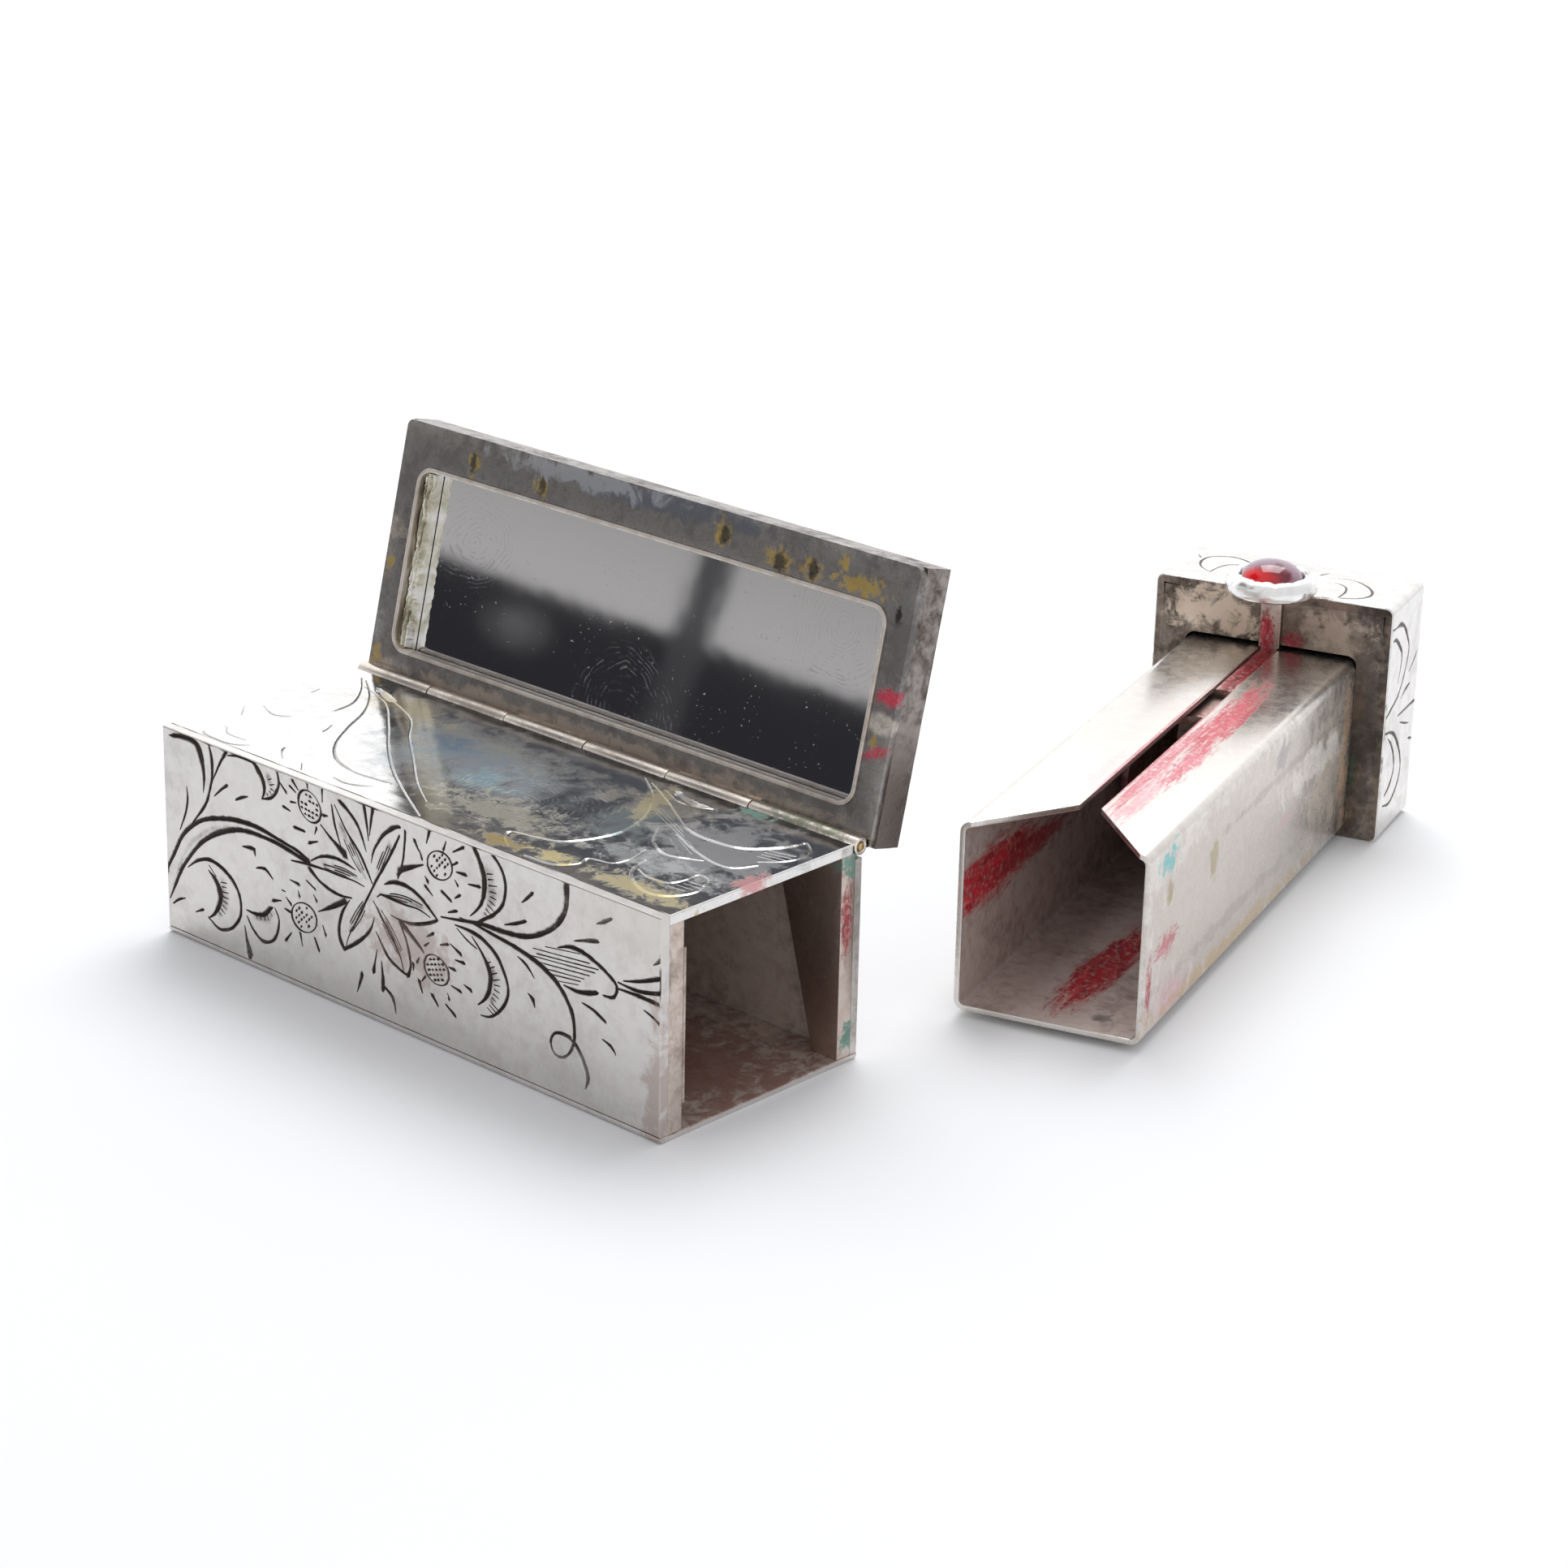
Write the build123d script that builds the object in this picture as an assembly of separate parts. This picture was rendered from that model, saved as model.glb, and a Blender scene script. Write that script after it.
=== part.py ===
from build123d import *
from math import cos, radians, sin
import os

# Lipstick case of hand-worked silver sheet, in two halves laid out side by side.
# One half is a square sheath with a mirror lid hinged along its back top edge.
# The other half is a slotted square tube soldered into a square cap. A slider with a
# stone on top runs in the slot and carries the cup that grips a lipstick refill.
#
# Row frame: millimetres, +Z up, the origin at the centre of the sheath's base.
# +X runs along the sheath to its open mouth and +Y to the hinge side.
# Unit frame of the tube half: +X from the tube's mouth to the cap, +Z up.

# Sheath
SHEATH_L = 54.3        # length along X
SHEATH_W = 21.0        # width over the front and back panels
SHEATH_H = 17.4        # height, so that the lid on top makes a square section
WALL_T = 0.8           # front, back and end panels
TOP_T = 0.75           # top panel
BOTTOM_T = 0.5         # bottom panel
PAD_T = 1.45           # guide pads inside the mouth
PAD_TOP_L = 6.8        # length of a pad's top edge; its inner edge slants
PAD_BOTTOM_L = 2.5     # length of a pad's bottom edge
EDGE_R = 0.35          # softened outer edges
LEAF_X0 = 23.3         # spring leaf inside the mouth, against the front pad
LEAF_X1 = 27.1
LEAF_Z0 = 2.5
LEAF_Z1 = 14.5
LEAF_T = 0.25
LEAF_FIT = 0.05        # clearance between the leaf and the pad behind it

# Hinge
HINGE_Y = 10.35        # pin axis, at the sheath's top back edge
HINGE_Z = 16.95
KNUCKLE_R = 0.7
PIN_R = 0.3
PIN_FIT = 0.03         # radial clearance of the lid's knuckles on the pin
REBATE_Y = 9.4         # the top panel stops here to let the knuckles in
REBATE_Z = 16.15       # the back panel stops here
JOINTS_X = (-27.15, -18.9, -10.0, -1.2, 7.7, 16.3, 27.15)
JOINT_GAP = 0.08       # end play between two knuckles
LID_OPEN = 103.5       # angle from closed to the open position

# Lid, drawn closed: U runs forward from the hinge axis and N up from it
LID_X0 = -27.3
LID_X1 = 27.35
LID_U0 = -0.15
LID_U1 = 20.85
LID_FACE_N = 0.6       # inner face of the frame plate
LID_BACK_N = 4.05      # outer face of the tray
FRAME_T = 0.7
TRAY_WALL = 1.2
TRAY_FLOOR = 0.9
OPEN_X = 25.15         # half length of the opening over the mirror
OPEN_U0 = 2.2
OPEN_U1 = 17.5
OPEN_R = 1.6           # corner radius of the opening
LIP_W = 0.4            # width of the raised lip round the opening
LIP_RISE = 0.12
GLASS_T = 1.0
BACKING_T = 0.15

# Tube half
UNIT_X = 34.41         # the tube's mouth, laid beside the sheath
UNIT_Y = 23.8
UNIT_YAW = 107.55      # the tube's direction from mouth to cap
TUBE_W = 15.2
TUBE_Z0 = 0.6
TUBE_Z1 = 16.0
TUBE_T = 0.45          # sheet thickness
TUBE_R = 0.9           # outer corner radius
TUBE_L = 54.0
SLOT_W = 1.7
NOTCH_L = 7.4          # the V that leads into the slot
NOTCH_W = 13.4         # its width at the mouth
CAP_X = 49.95          # the cap's front face
CAP_L = 8.9
CAP_W = 21.0           # the cap's section matches the closed sheath and lid
CAP_T = 0.8
CAP_R = 0.7
HOLE_RELIEF = 0.3      # gap left above the tube in the cap's front plate

# Slider
STRIP_T = 0.42         # folded strip
TONGUE_X0 = 38.0
STEM_X0 = 49.4
TONGUE_W = 1.5
STEM_W = 1.8
STRIP_Z0 = 15.4
BEZEL_X = 49.0
BEZEL_Z = 21.15        # underside, just clear of the cap and the closed lid
BEZEL_R = 3.9
BEZEL_H = 2.05
BEZEL_WALL = 1.2
STONE_R = 2.6
STONE_H = 1.35         # height of the dome above its seat
CUP_X0 = 33.0
CUP_X1 = 46.0
CUP_Z = 8.3            # axis of the cup
CUP_R = 6.75
REFILL_R = 6.15        # bore for a 12.1 mm refill base
REFILL_DEPTH = 12.0
GUIDE_T = 0.6
GUIDE_W = 13.9
GUIDE_Z0 = 1.3


def box(x0, x1, y0, y1, z0, z1):
    """A box between two corners."""
    size = (x1 - x0, y1 - y0, z1 - z0)
    middle = ((x0 + x1) / 2, (y0 + y1) / 2, (z0 + z1) / 2)
    return Pos(*middle) * Box(*size)


def rod_x(x0, x1, y, z, r):
    """A round bar along X."""
    return Pos((x0 + x1) / 2, y, z) * Rot(0, 90, 0) * Cylinder(r, x1 - x0)


def square_bar_x(x0, x1, width, z0, z1, r):
    """A bar along X with rounded long edges."""
    profile = RectangleRounded(z1 - z0, width, r)
    return Pos(x0, 0, (z0 + z1) / 2) * Rot(0, 90, 0) * extrude(profile, x1 - x0)


def lid_box(x0, x1, u0, u1, n0, n1):
    """A box in the closed lid's own coordinates."""
    return box(x0, x1, HINGE_Y - u1, HINGE_Y - u0, HINGE_Z + n0, HINGE_Z + n1)


def lid_slab(x0, x1, u0, u1, n0, n1, r):
    """A plate in the closed lid's coordinates, with rounded corners in plan."""
    profile = RectangleRounded(x1 - x0, u1 - u0, r)
    place = Pos((x0 + x1) / 2, HINGE_Y - (u0 + u1) / 2, HINGE_Z + n0)
    return place * extrude(profile, n1 - n0)


def open_lid(solid):
    """Turns a part of the closed lid about the pin to the open position."""
    to_pin = Pos(0, HINGE_Y, HINGE_Z)
    from_pin = Pos(0, -HINGE_Y, -HINGE_Z)
    return to_pin * Rot(-LID_OPEN, 0, 0) * from_pin * solid


def lay_unit(solid):
    """Lays a part of the tube half beside the sheath."""
    return Pos(UNIT_X, UNIT_Y, 0) * Rot(0, 0, UNIT_YAW) * solid


# Sheath: five panels, two guide pads, a spring leaf and the strip that bears the hinge

def sheath_panels():
    x1 = SHEATH_L / 2
    x0 = -x1
    y1 = SHEATH_W / 2
    y0 = -y1
    under_top = SHEATH_H - TOP_T
    front = box(x0, x1, y0, y0 + WALL_T, BOTTOM_T, SHEATH_H)
    front = fillet(front.edges().filter_by(Axis.X).group_by(Axis.Z)[-1].sort_by(Axis.Y)[0], EDGE_R)
    back = box(x0, x1, y1 - WALL_T, y1, BOTTOM_T, REBATE_Z)
    top = box(x0, x1, y0 + WALL_T, REBATE_Y, under_top, SHEATH_H)
    bottom = box(x0, x1, y0, y1, 0, BOTTOM_T)
    bottom = fillet(bottom.edges().filter_by(Axis.X).group_by(Axis.Z)[0], EDGE_R)
    end = box(x0, x0 + WALL_T, y0 + WALL_T, y1 - WALL_T, BOTTOM_T, under_top)
    return {
        "sheath_front_panel": front,
        "sheath_back_panel": back,
        "sheath_top_panel": top,
        "sheath_bottom_panel": bottom,
        "sheath_end_panel": end,
    }


def guide_pad(y0, y1, top_z):
    """A pad inside the mouth, with a slanted inner edge."""
    x1 = SHEATH_L / 2
    outline = Polyline(
        (x1, BOTTOM_T),
        (x1, top_z),
        (x1 - PAD_TOP_L, top_z),
        (x1 - PAD_BOTTOM_L, BOTTOM_T),
        close=True,
    )
    plate = extrude(make_face(outline), y1 - y0)
    return Pos(0, y1, 0) * Rot(90, 0, 0) * plate


def spring_leaf():
    """A thin leaf inside the front pad that presses on the tube."""
    y0 = -SHEATH_W / 2 + WALL_T + PAD_T + LEAF_FIT
    return box(LEAF_X0, LEAF_X1, y0, y0 + LEAF_T, LEAF_Z0, LEAF_Z1)


def hinge_bearer():
    """A strip in the inner top corner that carries the knuckles' load."""
    x1 = SHEATH_L / 2
    inner_y = SHEATH_W / 2 - WALL_T
    return box(-x1 + WALL_T, x1 - PAD_TOP_L, inner_y - 0.7, inner_y, 15.0, SHEATH_H - TOP_T)


def sheath_knuckle(x0, x1):
    """A knuckle with a web down to the back panel's edge."""
    round_part = rod_x(x0, x1, HINGE_Y, HINGE_Z, KNUCKLE_R)
    web = box(x0, x1, SHEATH_W / 2 - WALL_T, SHEATH_W / 2, REBATE_Z, HINGE_Z)
    hole = rod_x(x0 - 1, x1 + 1, HINGE_Y, HINGE_Z, PIN_R)
    return round_part + web - hole


# Lid: tray, frame plate, lip, glass, backing and three knuckles

def hinge_relief():
    """Room for the knuckles along the lid's back edge."""
    return rod_x(LID_X0 - 1, LID_X1 + 1, HINGE_Y, HINGE_Z, KNUCKLE_R + 0.1)


def lid_tray():
    body = lid_slab(LID_X0, LID_X1, LID_U0, LID_U1, LID_FACE_N + FRAME_T, LID_BACK_N, 0.6)
    rim = body.edges().group_by(Axis.Z)[-1]
    body = fillet(rim, EDGE_R)
    recess = lid_slab(
        LID_X0 + TRAY_WALL,
        LID_X1 - TRAY_WALL,
        LID_U0 + TRAY_WALL,
        LID_U1 - TRAY_WALL - 0.6,
        LID_FACE_N + FRAME_T,
        LID_BACK_N - TRAY_FLOOR,
        1.0,
    )
    return body - recess


def lid_frame():
    n1 = LID_FACE_N + FRAME_T
    plate = lid_slab(LID_X0, LID_X1, LID_U0, LID_U1, LID_FACE_N, n1, 0.6)
    opening = lid_slab(-OPEN_X, OPEN_X, OPEN_U0, OPEN_U1, LID_FACE_N - 1, n1 + 1, OPEN_R)
    return plate - opening - hinge_relief()


def lid_lip():
    """A narrow raised ring soldered inside the opening."""
    n0 = LID_FACE_N - LIP_RISE
    n1 = LID_FACE_N + FRAME_T + 0.3
    ring = lid_slab(-OPEN_X, OPEN_X, OPEN_U0, OPEN_U1, n0, n1, OPEN_R)
    inside = lid_slab(
        -OPEN_X + LIP_W,
        OPEN_X - LIP_W,
        OPEN_U0 + LIP_W,
        OPEN_U1 - LIP_W,
        n0 - 1,
        n1 + 1,
        OPEN_R - LIP_W,
    )
    return ring - inside


def recess_floor():
    return LID_BACK_N - TRAY_FLOOR


def lid_glass():
    """The mirror, cut a little short of the recess at the closed end."""
    n1 = recess_floor() - BACKING_T
    return lid_slab(-24.45, 25.9, 1.2, 18.5, n1 - GLASS_T, n1, 0.4)


def lid_backing():
    """Crumpled foil between the glass and the tray."""
    n1 = recess_floor()
    return lid_slab(-26.0, 26.0, 1.15, 18.9, n1 - BACKING_T, n1, 0.9)


def lid_knuckle(x0, x1):
    """A knuckle with a web up to the lid's plate."""
    round_part = rod_x(x0, x1, HINGE_Y, HINGE_Z, KNUCKLE_R)
    web = lid_box(x0, x1, LID_U0, 0.65, 0, LID_FACE_N)
    hole = rod_x(x0 - 1, x1 + 1, HINGE_Y, HINGE_Z, PIN_R + PIN_FIT)
    return round_part + web - hole


def hinge_parts():
    """Knuckles in turn along the pin: three on the sheath and three on the lid."""
    nodes = {}
    for i in range(6):
        x0 = JOINTS_X[i]
        x1 = JOINTS_X[i + 1] - JOINT_GAP
        number = i // 2 + 1
        if i % 2 == 0:
            nodes[f"sheath_knuckle_{number}"] = sheath_knuckle(x0, x1)
        else:
            nodes[f"lid_knuckle_{number}"] = open_lid(lid_knuckle(x0, x1))
    nodes["hinge_pin"] = rod_x(JOINTS_X[0], JOINTS_X[-1], HINGE_Y, HINGE_Z, PIN_R)
    return nodes


# Tube half: slotted tube, cap and slider

def tube_body():
    outer = square_bar_x(0, TUBE_L, TUBE_W, TUBE_Z0, TUBE_Z1, TUBE_R)
    inner = square_bar_x(
        -1,
        TUBE_L + 1,
        TUBE_W - 2 * TUBE_T,
        TUBE_Z0 + TUBE_T,
        TUBE_Z1 - TUBE_T,
        TUBE_R - TUBE_T,
    )
    slot = box(0, CAP_X + 0.35, -SLOT_W / 2, SLOT_W / 2, TUBE_Z1 - 1, TUBE_Z1 + 1)
    v_outline = Polyline(
        (-0.1, -NOTCH_W / 2),
        (0, -NOTCH_W / 2),
        (NOTCH_L, -SLOT_W / 2),
        (NOTCH_L, SLOT_W / 2),
        (0, NOTCH_W / 2),
        (-0.1, NOTCH_W / 2),
        close=True,
    )
    v_notch = Pos(0, 0, TUBE_Z1 - 1) * extrude(make_face(v_outline), 2)
    return outer - inner - slot - v_notch


def cap_band():
    outer = square_bar_x(CAP_X, CAP_X + CAP_L, CAP_W, 0, CAP_W, CAP_R)
    inner = box(
        CAP_X - 1,
        CAP_X + CAP_L + 1,
        -CAP_W / 2 + CAP_T,
        CAP_W / 2 - CAP_T,
        CAP_T * 0.65,
        CAP_W - CAP_T,
    )
    return outer - inner


def cap_plate(x0):
    half = CAP_W / 2 - CAP_T
    return box(x0, x0 + CAP_T, -half, half, CAP_T * 0.65, CAP_W - CAP_T)


def cap_front_plate():
    """The tube passes through it, with a gap left above."""
    hole = square_bar_x(
        CAP_X - 1, CAP_X + 2, TUBE_W, TUBE_Z0, TUBE_Z1 + HOLE_RELIEF, TUBE_R
    )
    return cap_plate(CAP_X) - hole


def cap_end_plate():
    return cap_plate(CAP_X + CAP_L - CAP_T)


def slider_strip():
    """Tongue in the slot, bent up into the stem that carries the bezel."""
    tongue = box(
        TONGUE_X0,
        STEM_X0 + STRIP_T,
        -TONGUE_W / 2,
        TONGUE_W / 2,
        STRIP_Z0,
        STRIP_Z0 + STRIP_T,
    )
    neck = box(
        STEM_X0, STEM_X0 + STRIP_T, -TONGUE_W / 2, TONGUE_W / 2, STRIP_Z0, TUBE_Z1 + 0.3
    )
    stem = box(
        STEM_X0, STEM_X0 + STRIP_T, -STEM_W / 2, STEM_W / 2, TUBE_Z1 + 0.1, BEZEL_Z
    )
    return tongue + neck + stem


def bezel_cup():
    """A shallow round cup with its rim rubbed in over the stone."""
    half_section = Polyline(
        (0, 0),
        (BEZEL_R - 0.4, 0),
        (BEZEL_R, 0.35),
        (BEZEL_R, BEZEL_H - 0.5),
        (BEZEL_R - 0.6, BEZEL_H),
        (BEZEL_R - 0.8, BEZEL_H - 0.2),
        (BEZEL_R - BEZEL_WALL, BEZEL_H - 0.55),
        (BEZEL_R - BEZEL_WALL, 0.4),
        (0, 0.4),
        close=True,
    )
    profile = make_face(half_section)
    turned = revolve(Plane.XZ.location * profile, Axis.Z)
    return Pos(BEZEL_X, 0, BEZEL_Z) * turned


def cabochon():
    """A domed red stone on a short straight girdle."""
    girdle = 1.1
    ball_r = (STONE_R ** 2 + STONE_H ** 2) / (2 * STONE_H)
    ball = Pos(0, 0, girdle + STONE_H - ball_r) * Sphere(ball_r)
    above = Pos(0, 0, girdle + 5) * Box(20, 20, 10)
    dome = ball & above
    seat = Pos(0, 0, girdle / 2) * Cylinder(STONE_R, girdle)
    return Pos(BEZEL_X, 0, BEZEL_Z + 0.4) * (dome + seat)


def refill_cup():
    """A round cup, open toward the tube's mouth, that grips the refill's base."""
    outside = rod_x(CUP_X0, CUP_X1, 0, CUP_Z, CUP_R)
    inside = rod_x(CUP_X0 - 1, CUP_X0 + REFILL_DEPTH, 0, CUP_Z, REFILL_R)
    return outside - inside


def guide_plate(x0):
    """A square plate round the cup that slides inside the tube."""
    plate = square_bar_x(x0, x0 + GUIDE_T, GUIDE_W, GUIDE_Z0, STRIP_Z0, 0.5)
    return plate - rod_x(x0 - 1, x0 + 2, 0, CUP_Z, CUP_R)


def tube_half_parts():
    nodes = {
        "tube_body": tube_body(),
        "cap_band": cap_band(),
        "cap_front_plate": cap_front_plate(),
        "cap_end_plate": cap_end_plate(),
        "slider_strip": slider_strip(),
        "slider_bezel": bezel_cup(),
        "slider_cabochon": cabochon(),
        "refill_cup": refill_cup(),
        "cup_front_guide": guide_plate(TONGUE_X0 + 0.4),
        "cup_rear_guide": guide_plate(CUP_X1 - GUIDE_T - 0.6),
    }
    return {name: lay_unit(solid) for name, solid in nodes.items()}


def sheath_parts():
    nodes = sheath_panels()
    front_y = -SHEATH_W / 2 + WALL_T
    back_y = SHEATH_W / 2 - WALL_T
    top_z = SHEATH_H - TOP_T
    nodes["front_guide_pad"] = guide_pad(front_y, front_y + PAD_T, top_z)
    nodes["back_guide_pad"] = guide_pad(back_y - PAD_T, back_y, top_z)
    nodes["mouth_spring_leaf"] = spring_leaf()
    nodes["hinge_bearer"] = hinge_bearer()
    return nodes


def lid_parts():
    nodes = {
        "lid_tray": lid_tray(),
        "lid_frame": lid_frame(),
        "lid_lip": lid_lip(),
        "mirror_glass": lid_glass(),
        "mirror_backing": lid_backing(),
    }
    return {name: open_lid(solid) for name, solid in nodes.items()}


os.makedirs("parts", exist_ok=True)
all_parts = {**sheath_parts(), **lid_parts(), **hinge_parts(), **tube_half_parts()}
for name, solid in all_parts.items():
    export_step(solid, f"parts/{name}.step")
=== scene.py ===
import math
import random
from contextlib import contextmanager
from functools import cache

import bmesh
import bpy
import numpy as np
from mathutils import Matrix, Vector, noise as mnoise
from mathutils.geometry import delaunay_2d_cdt


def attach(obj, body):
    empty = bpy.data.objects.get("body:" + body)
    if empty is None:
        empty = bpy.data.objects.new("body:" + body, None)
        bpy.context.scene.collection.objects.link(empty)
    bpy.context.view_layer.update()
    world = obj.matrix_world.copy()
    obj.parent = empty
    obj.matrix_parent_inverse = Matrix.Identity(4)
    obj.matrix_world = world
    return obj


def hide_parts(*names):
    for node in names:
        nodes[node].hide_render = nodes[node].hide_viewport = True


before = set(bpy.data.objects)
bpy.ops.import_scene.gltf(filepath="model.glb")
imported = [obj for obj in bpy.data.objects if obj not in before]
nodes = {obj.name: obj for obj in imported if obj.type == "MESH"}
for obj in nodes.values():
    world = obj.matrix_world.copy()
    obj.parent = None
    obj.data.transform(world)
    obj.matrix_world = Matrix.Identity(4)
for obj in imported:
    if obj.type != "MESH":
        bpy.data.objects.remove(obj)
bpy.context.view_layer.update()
MM = 0.001
random.seed(7)

# Directions of the tube half: along it to the cap, to its left, and the middle of its mouth (mm).
YAW = math.radians(107.55)
ALONG = Vector((math.cos(YAW), math.sin(YAW), 0))
LEFT = Vector((-math.sin(YAW), math.cos(YAW), 0))
MOUTH = Vector((34.41, 23.80, 0))
# The open lid: away from the hinge, and out of its outer face. HINGE is on the pin.
LID_U = Vector((0, 0.23345, 0.97237))
LID_N = Vector((0, 0.97237, -0.23345))
HINGE = Vector((0, 10.35, 16.95))

# Outer faces (mm): the sheath's front and back at -+FACE, its top at TOP_Z, the lid's at LID_FACE from the
# hinge, and the cap's band, a square of half width CAP_HALF with rounded edges, between two distances
# from the mouth. PANEL_X is half the length of a sheath panel and PANEL_LOW its lower edge.
FACE = 10.5
TOP_Z = 17.4
PANEL_X = 27.15
PANEL_LOW = 0.5
LID_FACE = 4.05
LID_RECT = (-27.35, 27.3, -0.15, 20.85)
CAP_HALF = 10.5
CAP_ROUND = 0.7
CAP_FROM, CAP_TO = 49.95, 58.85

# How the front, the back and the lid are chased, and how every plate's cut edge is rounded:
# (share of the bevel outward, share of the bevel inward).
CHASED = dict(lean=0.3, steep=0.8, widen=1.6)
ROUNDING = ((0.65, 0.35), (1.0, 1.0))
TINY = 1e-4

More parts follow.
